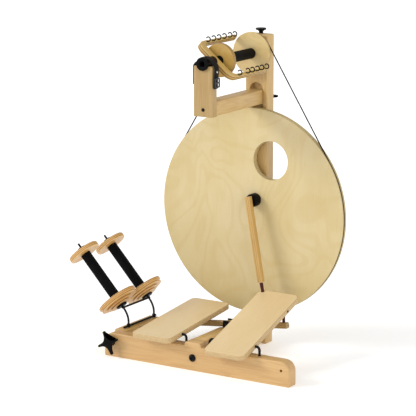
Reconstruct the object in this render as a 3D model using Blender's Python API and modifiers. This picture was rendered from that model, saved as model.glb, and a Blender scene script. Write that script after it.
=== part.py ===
"""Upright double-treadle spinning wheel with a bobbin rack, as separate parts.

Blender units are metres. The sizes below are millimetres and are scaled by MM.
X runs to the spinner's right along the front board, Y runs from the spinner to the
back, and Z is up. The origin is on the floor, in the middle of the post's foot.
"""
import math

import bmesh
import bpy
from mathutils import Matrix, Vector

MM = 0.001
GAP = 0.3
X_AXIS = Vector((1, 0, 0))
Y_AXIS = Vector((0, 1, 0))
Z_AXIS = Vector((0, 0, 1))

# Post and base
POST_HALF_X = 30.0
POST_HALF_Y = 16.0
POST_TOP = 756.0
BOARD_LEFT = -248.0
BOARD_RIGHT = 258.0
BOARD_FRONT = -301.0
BOARD_BACK = -269.0
BOARD_MID = (BOARD_FRONT + BOARD_BACK) / 2
BOARD_TOP = 58.0
BOARD_CORNER = 24.0
BEAM_HALF_X = 21.0
BEAM_BOTTOM = 10.0
BEAM_TOP = 68.0
BOARD_BOLT_Z = 31.0
POST_BOLT_Z = 39.0
BOLT_R = 4.0
BOLT_HEAD_R = 9.0
STORE_HOLE_X = 237.0
CLAMP_HOLE_X = -227.0
CLAMP_HOLE_Z = 37.0

# Drive wheel
WHEEL_R = 250.0
WHEEL_T = 16.0
WHEEL_Z = 333.0
WHEEL_FRONT = -37.5
WHEEL_BACK = WHEEL_FRONT + WHEEL_T
BELT_Y = WHEEL_FRONT + WHEEL_T / 2
RIM_GROOVE_R = 246.4
GRIP_HOLE_R = 47.0
GRIP_HOLE_OFFSET = 137.6
CRANK_ANGLE = math.radians(67.4)
CRANK_THROW = 31.5
CRANK_BOSS_R = 16.0
CRANK_BOSS_FRONT = -60.6
AXLE_R = 6.0
HUB_FLANGE_R = 35.0
BEARING_R = 13.0
BEARING_LENGTH = 8.0

# Treadles
HINGE_Y = -284.5
HINGE_Z = 78.9
TREADLE_WIDTH = 108.0
TREADLE_LENGTH = 275.0
TREADLE_OVERHANG = 57.0
TREADLE_T = 13.0
TREADLE_CORNER = 14.0
TREADLE_X = {"left": -92.0, "right": 106.0}
TREADLE_TILT = {"left": math.radians(5.4), "right": math.radians(18.5)}
HINGE_ROD_R = 3.0
HINGE_ROD_LEGS = {"left": (-158.0, -27.0), "right": (37.0, 171.0)}
OUTER_SIDE = {"left": -1, "right": 1}

# Rocker that joins the treadles
ROCKER_Y = -137.5
ROCKER_Z = 76.0
ROCKER_TILT = math.radians(6.5)
ROCKER_SIZE = 14.0
ROCKER_ENDS = (-153.0, 163.0)
LINK_INSET = 43.8
LINK_R = 3.65
LINK_POCKET = {"left": (-8.0, 15.0), "right": (-15.0, 8.0)}
LINK_POCKET_X = {"left": (-5.0, 7.2), "right": (-5.0, 6.6)}
PIN_R = 2.0

# Connecting rod
CONROD_SIZE = 13.0
CONROD_PIN_Y = -69.0
CONROD_FOOT = (57.0, -85.5, 174.0)
CONROD_HEAD_LENGTH = 12.0
JOINT_R = 4.25
JOINT_ENTRY = (62.0, -85.5, 151.0)
JOINT_DEPTH = 7.0

# Head that carries the flyer, and its tension slide
ARM_HALF_X = 17.5
ARM_BOTTOM = 590.5
ARM_TOP = 624.5
UPRIGHT_LEFT = -27.0
UPRIGHT_RIGHT = 22.5
UPRIGHT_FRONT = -251.5
UPRIGHT_BACK = -230.5
UPRIGHT_TOP = 708.0
HEAD_BOLT_Z = 607.0
CLAMP_Z = 600.0
POCKET_HALF_X = 18.5
POCKET_FLOOR_Y = -4.5
SLIDER_HALF_X = 13.0
SLIDER_FRONT = -4.0
SLIDER_BACK = 15.8
SLIDER_BOTTOM = 560.0
SLIDER_TOP = 740.0
TENSION_Y = 5.0
SCREW_R = 3.0
STAR_TIP = 29.5
STAR_TIP_R = 2.6
STAR_ARM_HALF = 4.4
STAR_OFFSET = 16.0
TENSION_KNOB_R = 13.3

# Flyer and bobbins
FLYER_X = -1.5
FLYER_Z = 713.0
FLYER_TILT = math.radians(39.5)
TUBE_R = 13.2
TUBE_BORE_R = 6.5
TUBE_LIP_R = 15.5
FLYER_OUTER = 60.0
FLYER_INNER = 51.5
FLYER_T = 13.0
FLYER_BASE_FRONT = -209.5
FLYER_BASE_BACK = -190.0
FLYER_ARM_END = -40.5
SHAFT_R = 4.0
HOOK_R = 5.4
HOOK_WIRE_R = 1.0
HOOKS_UPPER = (-173.5, -149.5, -126.5, -102.5, -77.5, -55.5)
HOOKS_LOWER = (-174.5, -138.5, -118.0, -95.5, -75.0, -52.5)
WHORL_R = 50.5
WHORL_T = 20.0
BOBBIN_BORE_R = 4.8
CORE_R = 12.5
HUB_R = 10.0
FLANGE_R = 39.5
FLANGE_START = 152.5
FLANGE_END = 163.5
CORE_END = 171.4
WHORL_BACK_Y = -18.0
BELT_R = 1.5
BELT_WHEEL_R = 248.4
BELT_WHORL_R = 48.1

# Brake strap
STRAP_LEFT = -29.2
STRAP_T = 2.6
STRAP_WIDTH = 16.0
STRAP_Y = -241.5
STRAP_SCREW_Z = 673.0

# Bobbin rack (lazy kate)
KATE_BAR = (-241.0, -209.0, -268.7, -118.0, 0.0, 58.0)
KATE_WIRE_R = 2.5
KATE_X = -222.0
KATE_YS = {"front": -237.5, "rear": -127.5}
KATE_BEND = (-236.5, 104.5)
KATE_TIP = (-368.0, 246.5)

for old in list(bpy.data.objects):
    bpy.data.objects.remove(old, do_unlink=True)

parts = bpy.data.collections.new("spinning_wheel")
tools = bpy.data.collections.new("cutters")
bpy.context.scene.collection.children.link(parts)
bpy.context.scene.collection.children.link(tools)


# ---------------------------------------------------------------- materials

def material(name, color, roughness, metallic=0.0):
    """A Principled material with the part's colour, roughness and metal value."""
    made = bpy.data.materials.new(name)
    made.use_nodes = True
    shader = made.node_tree.nodes["Principled BSDF"]
    shader.inputs["Base Color"].default_value = (*color, 1.0)
    shader.inputs["Roughness"].default_value = roughness
    shader.inputs["Metallic"].default_value = metallic
    made.diffuse_color = (*color, 1.0)
    return made


PLYWOOD = ("birch_plywood", (0.76, 0.65, 0.42), 0.45)
BEECH = ("beech", (0.66, 0.47, 0.24), 0.45)
BOBBIN_WOOD = ("bobbin_wood", (0.70, 0.45, 0.18), 0.45)
BLACK_STEEL = ("black_steel", (0.015, 0.015, 0.016), 0.4, 0.6)
BLACK_PLASTIC = ("black_plastic", (0.012, 0.012, 0.013), 0.4)
BRIGHT_STEEL = ("bright_steel", (0.55, 0.55, 0.56), 0.3, 1.0)
NYLON = ("nylon", (0.75, 0.74, 0.70), 0.5)
MAROON = ("flexible_joint", (0.05, 0.005, 0.006), 0.45)
LEATHER = ("leather", (0.012, 0.011, 0.010), 0.6)
BELT = ("belt", (0.02, 0.02, 0.02), 0.6)


# ---------------------------------------------------------------- modelling tools

def finish(obj, look, cutter=False):
    """Link an object into its collection and give it its own material."""
    if cutter:
        tools.objects.link(obj)
        obj.hide_render = True
        obj.display_type = "WIRE"
        return obj
    parts.objects.link(obj)
    name, *values = look
    obj.data.materials.append(material(obj.name + "_" + name, *values))
    return obj


def mesh_object(name, bm, matrix, look, cutter=False):
    """Turn a bmesh, in millimetres, into an object placed by a matrix."""
    bmesh.ops.scale(bm, vec=(MM, MM, MM), verts=bm.verts)
    mesh = bpy.data.meshes.new(name)
    bm.to_mesh(mesh)
    bm.free()
    obj = bpy.data.objects.new(name, mesh)
    obj.matrix_world = matrix
    return finish(obj, look, cutter)


def at(x, y, z):
    """A translation, given in millimetres."""
    return Matrix.Translation(Vector((x, y, z)) * MM)


def facing(point, direction):
    """A frame at a point, in millimetres, whose local Z looks along a direction."""
    turn = Z_AXIS.rotation_difference(Vector(direction).normalized())
    return at(*point) @ turn.to_matrix().to_4x4()


def bevel(obj, width, segments=1):
    """Round an object's sharp edges."""
    modifier = obj.modifiers.new("rounded_edges", "BEVEL")
    modifier.width = width * MM
    modifier.segments = segments
    modifier.limit_method = "ANGLE"
    modifier.angle_limit = math.radians(40)
    modifier.harden_normals = False


def boolean(obj, tool, operation):
    """Cut a tool out of an object, or join it on."""
    modifier = obj.modifiers.new(operation.lower(), "BOOLEAN")
    modifier.operation = operation
    modifier.solver = "EXACT"
    modifier.object = tool


def box(name, low, high, look=None, cutter=False, matrix=None, edge=0.0):
    """A box between two corners, in millimetres, in an optional local frame."""
    bm = bmesh.new()
    bmesh.ops.create_cube(bm, size=1.0)
    size = [high[i] - low[i] for i in range(3)]
    middle = [(high[i] + low[i]) / 2 for i in range(3)]
    bmesh.ops.scale(bm, vec=size, verts=bm.verts)
    bmesh.ops.translate(bm, vec=middle, verts=bm.verts)
    obj = mesh_object(name, bm, matrix or Matrix.Identity(4), look, cutter)
    if edge:
        bevel(obj, edge)
    return obj


def cut_box(obj, low, high, matrix=None):
    """Cut a box out of an object."""
    tool = box(obj.name + "_box_cut", low, high, cutter=True, matrix=matrix)
    boolean(obj, tool, "DIFFERENCE")


def cylinder(name, radius, length, matrix, look=None, cutter=False, segments=24):
    """A cylinder along local Z, from the frame's origin."""
    bm = bmesh.new()
    bmesh.ops.create_cone(bm, cap_ends=True, segments=segments, radius1=radius,
                          radius2=radius, depth=length)
    bmesh.ops.translate(bm, vec=(0, 0, length / 2), verts=bm.verts)
    obj = mesh_object(name, bm, matrix, look, cutter)
    if not cutter:
        obj.data.shade_smooth()
        obj.data.set_sharp_from_angle(angle=math.radians(35))
    return obj


def drill(obj, radius, point, direction, length, segments=16):
    """Cut a round hole that starts at a point and runs along a direction."""
    frame = facing(point, direction)
    tool = cylinder(obj.name + "_drill", radius, length, frame, cutter=True,
                    segments=segments)
    boolean(obj, tool, "DIFFERENCE")


def turned(name, profile, matrix, look, ring=False, segments=32):
    """Turn a profile of (radius, height) points about local Z.

    The profile runs down the outer side, from the top to the bottom.
    """
    bm = bmesh.new()
    verts = [bm.verts.new((radius, 0, height)) for radius, height in profile]
    for first, second in zip(verts, verts[1:]):
        bm.edges.new((first, second))
    if ring:
        bm.edges.new((verts[-1], verts[0]))
    obj = mesh_object(name, bm, matrix, look)
    screw = obj.modifiers.new("turned", "SCREW")
    screw.axis = "Z"
    screw.steps = segments
    screw.render_steps = segments
    screw.use_merge_vertices = True
    screw.merge_threshold = 0.00001
    screw.use_smooth_shade = False
    return obj


def arc(centre, radius, start, end, count):
    """Points on an arc between two angles in degrees."""
    points = []
    for step in range(count + 1):
        angle = math.radians(start + (end - start) * step / count)
        points.append((centre[0] + radius * math.cos(angle),
                       centre[1] + radius * math.sin(angle)))
    return points


def curve_to_mesh(name, curve, matrix, look, cutter):
    """Replace a curve by a welded mesh object with the same shape."""
    draft = bpy.data.objects.new(name + "_curve", curve)
    bpy.context.scene.collection.objects.link(draft)
    bpy.context.view_layer.update()
    seen = draft.evaluated_get(bpy.context.evaluated_depsgraph_get())
    mesh = bpy.data.meshes.new_from_object(seen)
    bpy.data.objects.remove(draft, do_unlink=True)
    bm = bmesh.new()
    bm.from_mesh(mesh)
    bmesh.ops.remove_doubles(bm, verts=bm.verts, dist=0.00001)
    bmesh.ops.recalc_face_normals(bm, faces=bm.faces)
    bm.to_mesh(mesh)
    bm.free()
    mesh.name = name
    mesh.materials.clear()
    obj = bpy.data.objects.new(name, mesh)
    obj.matrix_world = matrix
    return finish(obj, look, cutter)


def flat(name, points, thickness, matrix, look=None, cutter=False):
    """A flat outline in the local XY plane, thickened evenly about that plane."""
    curve = bpy.data.curves.new(name, "CURVE")
    curve.dimensions = "2D"
    curve.fill_mode = "BOTH"
    curve.extrude = thickness / 2 * MM
    spline = curve.splines.new("POLY")
    spline.points.add(len(points) - 1)
    for point, (x, y) in zip(spline.points, points):
        point.co = (x * MM, y * MM, 0, 1)
    spline.use_cyclic_u = True
    return curve_to_mesh(name, curve, matrix, look, cutter)


def rod(name, points, radius, look=None, cutter=False, closed=False, resolution=2):
    """A round rod or wire that follows points given in millimetres."""
    curve = bpy.data.curves.new(name, "CURVE")
    curve.dimensions = "3D"
    curve.bevel_depth = radius * MM
    curve.bevel_resolution = resolution
    curve.use_fill_caps = not closed
    spline = curve.splines.new("POLY")
    spline.points.add(len(points) - 1)
    for point, place in zip(spline.points, points):
        point.co = (place[0] * MM, place[1] * MM, place[2] * MM, 1)
    spline.use_cyclic_u = closed
    return curve_to_mesh(name, curve, Matrix.Identity(4), look, cutter)


def xz_plane(y):
    """A frame whose local X and Y are the world's X and Z, at a depth y."""
    columns = Matrix(((1, 0, 0, 0), (0, 0, -1, 0), (0, 1, 0, 0), (0, 0, 0, 1)))
    return at(0, y, 0) @ columns


def pivot(name, point, children):
    """Parent parts to an empty on their joint's axis, without moving them."""
    empty = bpy.data.objects.new(name, None)
    empty.location = Vector(point) * MM
    empty.empty_display_size = 0.02
    parts.objects.link(empty)
    for child in children:
        child.parent = empty
        child.matrix_parent_inverse = Matrix.Translation(empty.location).inverted()


# ---------------------------------------------------------------- base and post

def make_front_board():
    """The foot board: rounded ends and a low hump in the middle over the beam."""
    hump = 5.0
    right = [(BOARD_RIGHT, 0)]
    right += arc((BOARD_RIGHT - BOARD_CORNER, BOARD_TOP - BOARD_CORNER),
                 BOARD_CORNER, 0, 90, 6)
    right += arc((BEAM_HALF_X + 1 + hump, BOARD_TOP + hump), hump, 270, 180, 3)
    right += arc((BEAM_HALF_X + 1 - hump, BEAM_TOP - hump), hump, 0, 90, 3)
    left = arc((-BEAM_HALF_X - 1 + hump, BEAM_TOP - hump), hump, 90, 180, 3)
    left += arc((-BEAM_HALF_X - 1 - hump, BOARD_TOP + hump), hump, 0, -90, 3)
    left += arc((BOARD_LEFT + BOARD_CORNER, BOARD_TOP - BOARD_CORNER),
                BOARD_CORNER, 90, 180, 6)
    left += [(BOARD_LEFT, 0)]
    board = flat("front_board", right + left, BOARD_BACK - BOARD_FRONT,
                 xz_plane(BOARD_MID), BEECH)
    bevel(board, 1.5)
    through = BOARD_BACK - BOARD_FRONT + 4
    front = BOARD_FRONT - 2
    drill(board, 3.4, (STORE_HOLE_X, front, CLAMP_HOLE_Z), Y_AXIS, through)
    drill(board, 3.4, (CLAMP_HOLE_X, front, CLAMP_HOLE_Z), Y_AXIS, through)
    drill(board, BOLT_R + GAP, (0, front, BOARD_BOLT_Z), Y_AXIS, through)
    for legs in HINGE_ROD_LEGS.values():
        for x in legs:
            drill(board, HINGE_ROD_R + GAP, (x, HINGE_Y, 39), Z_AXIS, 40)
    return board


def make_beam():
    """The beam from the front board to the post, with a saddle for the rocker."""
    edge = 5.0
    outline = [(BEAM_HALF_X, BEAM_BOTTOM)]
    outline += arc((BEAM_HALF_X - edge, BEAM_TOP - edge), edge, 0, 90, 3)
    outline += arc((-BEAM_HALF_X + edge, BEAM_TOP - edge), edge, 90, 180, 3)
    outline += [(-BEAM_HALF_X, BEAM_BOTTOM)]
    front = BOARD_BACK + GAP
    back = -POST_HALF_Y - GAP
    beam = flat("centre_beam", outline, back - front, xz_plane((front + back) / 2), BEECH)
    drill(beam, BOLT_R + GAP, (0, front - 1, BOARD_BOLT_Z), Y_AXIS, 41)
    drill(beam, BOLT_R + GAP, (0, back + 1, POST_BOLT_Z), -Y_AXIS, 43)
    cut_box(beam, (-40, ROCKER_Y - 13, BEAM_TOP - 4), (40, ROCKER_Y + 13, BEAM_TOP + 5))
    return beam


def make_bolt(name, point, direction, length):
    """A dome-headed bolt. The point is under its head, and it runs along direction."""
    dome = [(0, 6.0), (3.5, 5.7), (6.5, 4.3), (BOLT_HEAD_R, 1.2), (BOLT_HEAD_R, 0)]
    shank = [(BOLT_R, 0), (BOLT_R, -length), (0, -length)]
    return turned(name, dome + shank, facing(point, -Vector(direction)), BLACK_STEEL,
                  segments=20)


def make_post():
    """The post, with an arched pocket for the arm and a slide channel behind it."""
    post = box("post", (-POST_HALF_X, -POST_HALF_Y, 0), (POST_HALF_X, POST_HALF_Y, POST_TOP),
               BEECH, edge=2.5)
    arch_z = 623.0
    arch = [(-POCKET_HALF_X, 555), (POCKET_HALF_X, 555)]
    arch += arc((0, arch_z), POCKET_HALF_X, 0, 180, 14)
    front = -POST_HALF_Y - 2
    depth = POCKET_FLOOR_Y - front
    pocket = flat("post_pocket", arch, depth, xz_plane(front + depth / 2), cutter=True)
    boolean(post, pocket, "DIFFERENCE")
    channel = SLIDER_HALF_X + 0.5
    cut_box(post, (-channel, POCKET_FLOOR_Y - 0.01, 548), (channel, POST_HALF_Y + 3, 745.5))
    slot = arc((FLYER_X, FLYER_Z + 4), 8, 0, 180, 8) + arc((FLYER_X, FLYER_Z - 4), 8, 180, 360, 8)
    window = flat("post_window", slot, depth + 3, xz_plane(front + depth / 2 + 1), cutter=True)
    boolean(post, window, "DIFFERENCE")
    drill(post, AXLE_R + 1.0, (0, front, WHEEL_Z), Y_AXIS, 40)
    seat = BEARING_LENGTH + GAP
    drill(post, BEARING_R + GAP, (0, -POST_HALF_Y + seat, WHEEL_Z), -Y_AXIS, seat + 3, 32)
    drill(post, BEARING_R + GAP, (0, POST_HALF_Y - seat, WHEEL_Z), Y_AXIS, seat + 3, 32)
    drill(post, SCREW_R + GAP, (0, TENSION_Y, 740), Z_AXIS, 20)
    drill(post, BOLT_R + GAP, (0, front, POST_BOLT_Z), Y_AXIS, 40)
    return post


def make_bearing(name, y):
    """A bearing ring in the post."""
    profile = [(AXLE_R + GAP, BEARING_LENGTH), (BEARING_R, BEARING_LENGTH), (BEARING_R, 0),
               (AXLE_R + GAP, 0)]
    return turned(name, profile, facing((0, y, WHEEL_Z), Y_AXIS), BRIGHT_STEEL, ring=True,
                  segments=28)


# ---------------------------------------------------------------- drive wheel

def wheel_point(radius):
    """The X and Z of a point on the wheel's crank line."""
    return (radius * math.cos(CRANK_ANGLE), WHEEL_Z + radius * math.sin(CRANK_ANGLE))


def make_wheel():
    """The plywood disc, with the belt groove in its rim and the round grip hole."""
    rim = [(0, WHEEL_T), (WHEEL_R - 1, WHEEL_T), (WHEEL_R, WHEEL_T - 1),
           (WHEEL_R, WHEEL_T / 2 + 3.4), (RIM_GROOVE_R, WHEEL_T / 2 + 2),
           (RIM_GROOVE_R, WHEEL_T / 2 - 2), (WHEEL_R, WHEEL_T / 2 - 3.4),
           (WHEEL_R, 1), (WHEEL_R - 1, 0), (0, 0)]
    wheel = turned("drive_wheel", rim, facing((0, WHEEL_FRONT, WHEEL_Z), Y_AXIS), PLYWOOD,
                   segments=96)
    hole_x, hole_z = wheel_point(GRIP_HOLE_OFFSET)
    drill(wheel, GRIP_HOLE_R, (hole_x, WHEEL_FRONT - 2, hole_z), Y_AXIS, WHEEL_T + 4, 48)
    drill(wheel, HUB_FLANGE_R + GAP, (0, WHEEL_BACK - 4, WHEEL_Z), Y_AXIS, 8, 32)
    drill(wheel, AXLE_R + GAP, (0, WHEEL_FRONT + 4.5, WHEEL_Z), Y_AXIS, 12)
    crank_x, crank_z = wheel_point(CRANK_THROW)
    drill(wheel, BOLT_R + GAP, (crank_x, WHEEL_FRONT - 2, crank_z), Y_AXIS, 12.5)
    return wheel


def make_axle():
    """The steel axle, with the flange that is let into the wheel's back."""
    face = WHEEL_BACK - 0.2
    flange = WHEEL_BACK - 3.7
    profile = [(0, 30), (AXLE_R, 30), (AXLE_R, face), (HUB_FLANGE_R, face),
               (HUB_FLANGE_R, flange), (AXLE_R, flange), (AXLE_R, WHEEL_FRONT + 5), (0, WHEEL_FRONT + 5)]
    return turned("wheel_axle", profile, facing((0, 0, WHEEL_Z), Y_AXIS), BRIGHT_STEEL,
                  segments=28)


def make_collar():
    """The collar that keeps the axle in the post."""
    low = POST_HALF_Y + 0.6
    profile = [(AXLE_R + GAP, low + 9), (12, low + 9), (12, low), (AXLE_R + GAP, low)]
    return turned("axle_collar", profile, facing((0, 0, WHEEL_Z), Y_AXIS), BLACK_STEEL,
                  ring=True, segments=20)


def make_crank_boss():
    """The crank boss on the wheel's face, with its stud in the wheel."""
    x, z = wheel_point(CRANK_THROW)
    face = WHEEL_FRONT - GAP
    profile = [(0, WHEEL_FRONT + 10), (BOLT_R, WHEEL_FRONT + 10), (BOLT_R, face),
               (CRANK_BOSS_R, face), (CRANK_BOSS_R, CRANK_BOSS_FRONT + 1.5),
               (CRANK_BOSS_R - 1.5, CRANK_BOSS_FRONT), (0, CRANK_BOSS_FRONT)]
    return turned("crank_boss", profile, facing((x, 0, z), Y_AXIS), BLACK_PLASTIC,
                  segments=28)


def make_belt():
    """The endless drive belt: round the wheel, straight up, and round the whorl."""
    gap_z = FLYER_Z - WHEEL_Z
    span = math.hypot(FLYER_X, gap_z)
    lean = math.degrees(math.atan2(gap_z, FLYER_X))
    wrap = math.degrees(math.acos((BELT_WHEEL_R - BELT_WHORL_R) / span))
    around = arc((0, WHEEL_Z), BELT_WHEEL_R, lean + wrap, lean + 360 - wrap, 60)
    around += arc((FLYER_X, FLYER_Z), BELT_WHORL_R, lean - wrap, lean + wrap, 10)
    return rod("drive_band", [(x, BELT_Y, z) for x, z in around], BELT_R, BELT, closed=True,
               resolution=1)


# ---------------------------------------------------------------- treadles and linkage

def treadle_frame(side):
    """A frame on the hinge axis whose local Y runs up the treadle."""
    tilt = Matrix.Rotation(TREADLE_TILT[side], 4, "X")
    return at(TREADLE_X[side], HINGE_Y, HINGE_Z) @ tilt


def link_reach(side):
    """The distance from the hinge axis to the link, along the treadle."""
    return (ROCKER_Y - HINGE_Y) / math.cos(TREADLE_TILT[side])


def make_treadle(side):
    """A plywood treadle, with its hinge bore and the pocket for the rocker link."""
    half = TREADLE_WIDTH / 2
    front = -TREADLE_OVERHANG
    back = TREADLE_LENGTH - TREADLE_OVERHANG
    r = TREADLE_CORNER
    outline = arc((half - r, back - r), r, 0, 90, 5) + arc((-half + r, back - r), r, 90, 180, 5)
    outline += arc((-half + r, front + r), r, 180, 270, 5)
    outline += arc((half - r, front + r), r, 270, 360, 5)
    frame = treadle_frame(side)
    treadle = flat("treadle_" + side, outline, TREADLE_T, frame, PLYWOOD)
    bevel(treadle, 1.6)
    bore = frame @ facing((-half - 2, 0, 0), X_AXIS)
    tool = cylinder(treadle.name + "_bore", HINGE_ROD_R + GAP, TREADLE_WIDTH + 4, bore,
                    cutter=True, segments=16)
    boolean(treadle, tool, "DIFFERENCE")
    out = OUTER_SIDE[side]
    reach = link_reach(side)
    near, far = LINK_POCKET[side]
    x0, x1 = LINK_POCKET_X[side]
    cut_box(treadle, (out * LINK_INSET + x0, reach + near, -TREADLE_T),
            (out * LINK_INSET + x1, reach + far, 2.5), matrix=frame)
    edge = frame @ facing((out * (half + 2), reach, 0), (-out, 0, 0))
    hole = cylinder(treadle.name + "_pin_hole", PIN_R + GAP, 8, edge, cutter=True, segments=12)
    boolean(treadle, hole, "DIFFERENCE")
    if side == "right":
        aim = joint_aim()
        drill(treadle, JOINT_R + GAP, Vector(JOINT_ENTRY) - aim * 12, aim, JOINT_DEPTH + 13)
    return treadle


def joint_aim():
    """The direction in which the flexible joint runs down into the treadle."""
    return (Vector(JOINT_ENTRY) - Vector(CONROD_FOOT)).normalized()


def make_link_pin(side):
    """The short pin in the treadle's edge that holds the rocker link."""
    out = OUTER_SIDE[side]
    edge = treadle_frame(side) @ facing((out * (TREADLE_WIDTH / 2 + 0.6), link_reach(side), 0), (-out, 0, 0))
    return cylinder("link_pin_" + side, PIN_R, 6.0, edge, BLACK_STEEL, segments=12)


def make_hinge_rod(side):
    """A bent steel rod: through the treadle, and down into the board at both ends."""
    left, right = HINGE_ROD_LEGS[side]
    bend = 8.0
    path = [(left, 40)]
    path += arc((left + bend, HINGE_Z - bend), bend, 180, 90, 5)
    path += arc((right - bend, HINGE_Z - bend), bend, 90, 0, 5)
    path += [(right, 40)]
    return rod("hinge_rod_" + side, [(x, HINGE_Y, z) for x, z in path], HINGE_ROD_R, BLACK_STEEL)


def rocker_frame():
    """A frame on the rocker's pivot whose local X runs along the bar."""
    return at(0, ROCKER_Y, ROCKER_Z) @ Matrix.Rotation(-ROCKER_TILT, 4, "Y")


def make_rocker():
    """The wooden bar that lifts one treadle as the other goes down."""
    half = ROCKER_SIZE / 2
    bar = box("rocker_bar", (ROCKER_ENDS[0], -half, -half), (ROCKER_ENDS[1], half, half), BEECH,
              matrix=rocker_frame(), edge=2.0)
    drill(bar, SCREW_R + GAP, (0, ROCKER_Y - 10, ROCKER_Z), Y_AXIS, 20)
    return bar


def make_bracket():
    """The U-shaped steel bracket that carries the rocker on the beam."""
    half = 12.5
    sheet = 2.5
    low = BEAM_TOP - 4 + GAP
    high = ROCKER_Z + 9
    outline = [(-half, low), (half, low), (half, high), (half - sheet, high),
               (half - sheet, low + sheet), (sheet - half, low + sheet), (sheet - half, high),
               (-half, high)]
    columns = Matrix(((0, 0, 1, 0), (1, 0, 0, 0), (0, 1, 0, 0), (0, 0, 0, 1)))
    bracket = flat("rocker_bracket", outline, 20, at(0, ROCKER_Y, 0) @ columns, BLACK_STEEL)
    drill(bracket, SCREW_R + GAP, (0, ROCKER_Y - 16, ROCKER_Z), Y_AXIS, 32)
    return bracket


def make_rocker_pivot():
    """The bolt that the rocker turns on."""
    profile = [(0, 18), (SCREW_R, 18), (SCREW_R, -13), (5.5, -13), (5.5, -16), (0, -16)]
    return turned("rocker_pivot", profile, facing((0, ROCKER_Y, ROCKER_Z), Y_AXIS), BLACK_STEEL,
                  segments=16)


def make_link(side):
    """The flexible link between the rocker's end and a treadle."""
    x = TREADLE_X[side] + OUTER_SIDE[side] * LINK_INSET
    slope = math.tan(ROCKER_TILT)
    low = ROCKER_Z + x * slope + ROCKER_SIZE / 2 / math.cos(ROCKER_TILT) + LINK_R * slope + GAP
    tilt = TREADLE_TILT[side]
    under = HINGE_Z + (ROCKER_Y - HINGE_Y) * math.tan(tilt) - TREADLE_T / 2 / math.cos(tilt)
    return cylinder("rocker_link_" + side, LINK_R, under + 4.5 - low, at(x, ROCKER_Y, low), MAROON,
                    segments=16)


def crank_pin_point():
    """The middle of the connecting rod at the height of its pin."""
    x, z = wheel_point(CRANK_THROW)
    return Vector((x, CONROD_PIN_Y, z))


def make_conrod():
    """The wooden connecting rod from the right treadle to the crank."""
    foot = Vector(CONROD_FOOT)
    run = crank_pin_point() - foot
    along = run.normalized()
    across = (Y_AXIS - along * Y_AXIS.dot(along)).normalized()
    side = across.cross(along)
    turn = Matrix((side, across, along)).transposed().to_4x4()
    half = CONROD_SIZE / 2
    bar = box("connecting_rod", (-half, -half, 0), (half, half, run.length + CONROD_HEAD_LENGTH),
              BEECH, matrix=at(*foot) @ turn, edge=1.2)
    x, y, z = crank_pin_point()
    drill(bar, SCREW_R + GAP, (x, y + half + 3, z), -Y_AXIS, 12)
    return bar


def make_crank_pin():
    """The pin in the rod's head. It stops just short of the crank boss."""
    x, y, z = crank_pin_point()
    return cylinder("crank_pin", SCREW_R, 10, facing((x, CRANK_BOSS_FRONT - GAP, z), -Y_AXIS),
                    BRIGHT_STEEL, segments=16)


def make_joint():
    """The flexible joint between the right treadle and the connecting rod."""
    aim = joint_aim()
    top = Vector(CONROD_FOOT) + aim * 1.4
    length = (Vector(JOINT_ENTRY) - top).length + JOINT_DEPTH
    return cylinder("conrod_joint", JOINT_R, length, facing(top, aim), MAROON, segments=16)


# ---------------------------------------------------------------- head, slide and knobs

def make_arm():
    """The arm from the front upright to the slide in the post."""
    arm = box("head_arm", (-ARM_HALF_X, UPRIGHT_BACK + GAP, ARM_BOTTOM),
              (ARM_HALF_X, SLIDER_FRONT - 0.8, ARM_TOP), BEECH, edge=1.5)
    drill(arm, SCREW_R + GAP, (FLYER_X, UPRIGHT_BACK - 1, HEAD_BOLT_Z), Y_AXIS, 42)
    drill(arm, SCREW_R + GAP, (0, 0, CLAMP_Z), -Y_AXIS, 30)
    return arm


def make_upright():
    """The front upright, with the half-round seat for the orifice tube."""
    seat = TUBE_R + 1.2
    drop = UPRIGHT_TOP - FLYER_Z
    lip = math.degrees(math.asin(drop / seat))
    corner = 4.0
    outline = [(UPRIGHT_LEFT, ARM_BOTTOM), (UPRIGHT_RIGHT, ARM_BOTTOM)]
    outline += arc((UPRIGHT_RIGHT - corner, UPRIGHT_TOP - corner), corner, 0, 90, 4)
    outline += arc((FLYER_X, FLYER_Z), seat, lip, -180 - lip, 14)
    outline += arc((UPRIGHT_LEFT + corner, UPRIGHT_TOP - corner), corner, 90, 180, 4)
    depth = UPRIGHT_BACK - UPRIGHT_FRONT
    upright = flat("front_upright", outline, depth, xz_plane(UPRIGHT_FRONT + depth / 2), BEECH)
    drill(upright, SCREW_R + GAP, (FLYER_X, UPRIGHT_FRONT - 2, HEAD_BOLT_Z), Y_AXIS, depth + 4)
    drill(upright, PIN_R + GAP, (UPRIGHT_LEFT - 2, STRAP_Y, STRAP_SCREW_Z), X_AXIS, 12, 12)
    return upright


def make_upright_bolt():
    """The bolt that holds the upright on the arm."""
    profile = [(0, 1.6), (3.4, 1.3), (4.2, 0.3), (4.2, -0), (SCREW_R, 0), (SCREW_R, -58), (0, -58)]
    return turned("upright_bolt", profile,
                  facing((FLYER_X, UPRIGHT_FRONT - GAP, HEAD_BOLT_Z), -Y_AXIS), BLACK_STEEL, segments=16)


def make_slider():
    """The slide block behind the arm, which also holds the flyer's rear bush."""
    slider = box("tension_slider", (-SLIDER_HALF_X, SLIDER_FRONT, SLIDER_BOTTOM),
                 (SLIDER_HALF_X, SLIDER_BACK, SLIDER_TOP), BEECH, edge=1.0)
    drill(slider, 7.3, (FLYER_X, SLIDER_FRONT - 2, FLYER_Z), Y_AXIS, 14, 24)
    drill(slider, SCREW_R + GAP, (0, SLIDER_FRONT - 2, CLAMP_Z), Y_AXIS, 24)
    drill(slider, SCREW_R + GAP, (0, TENSION_Y, SLIDER_TOP - 15.5), Z_AXIS, 20)
    return slider


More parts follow.
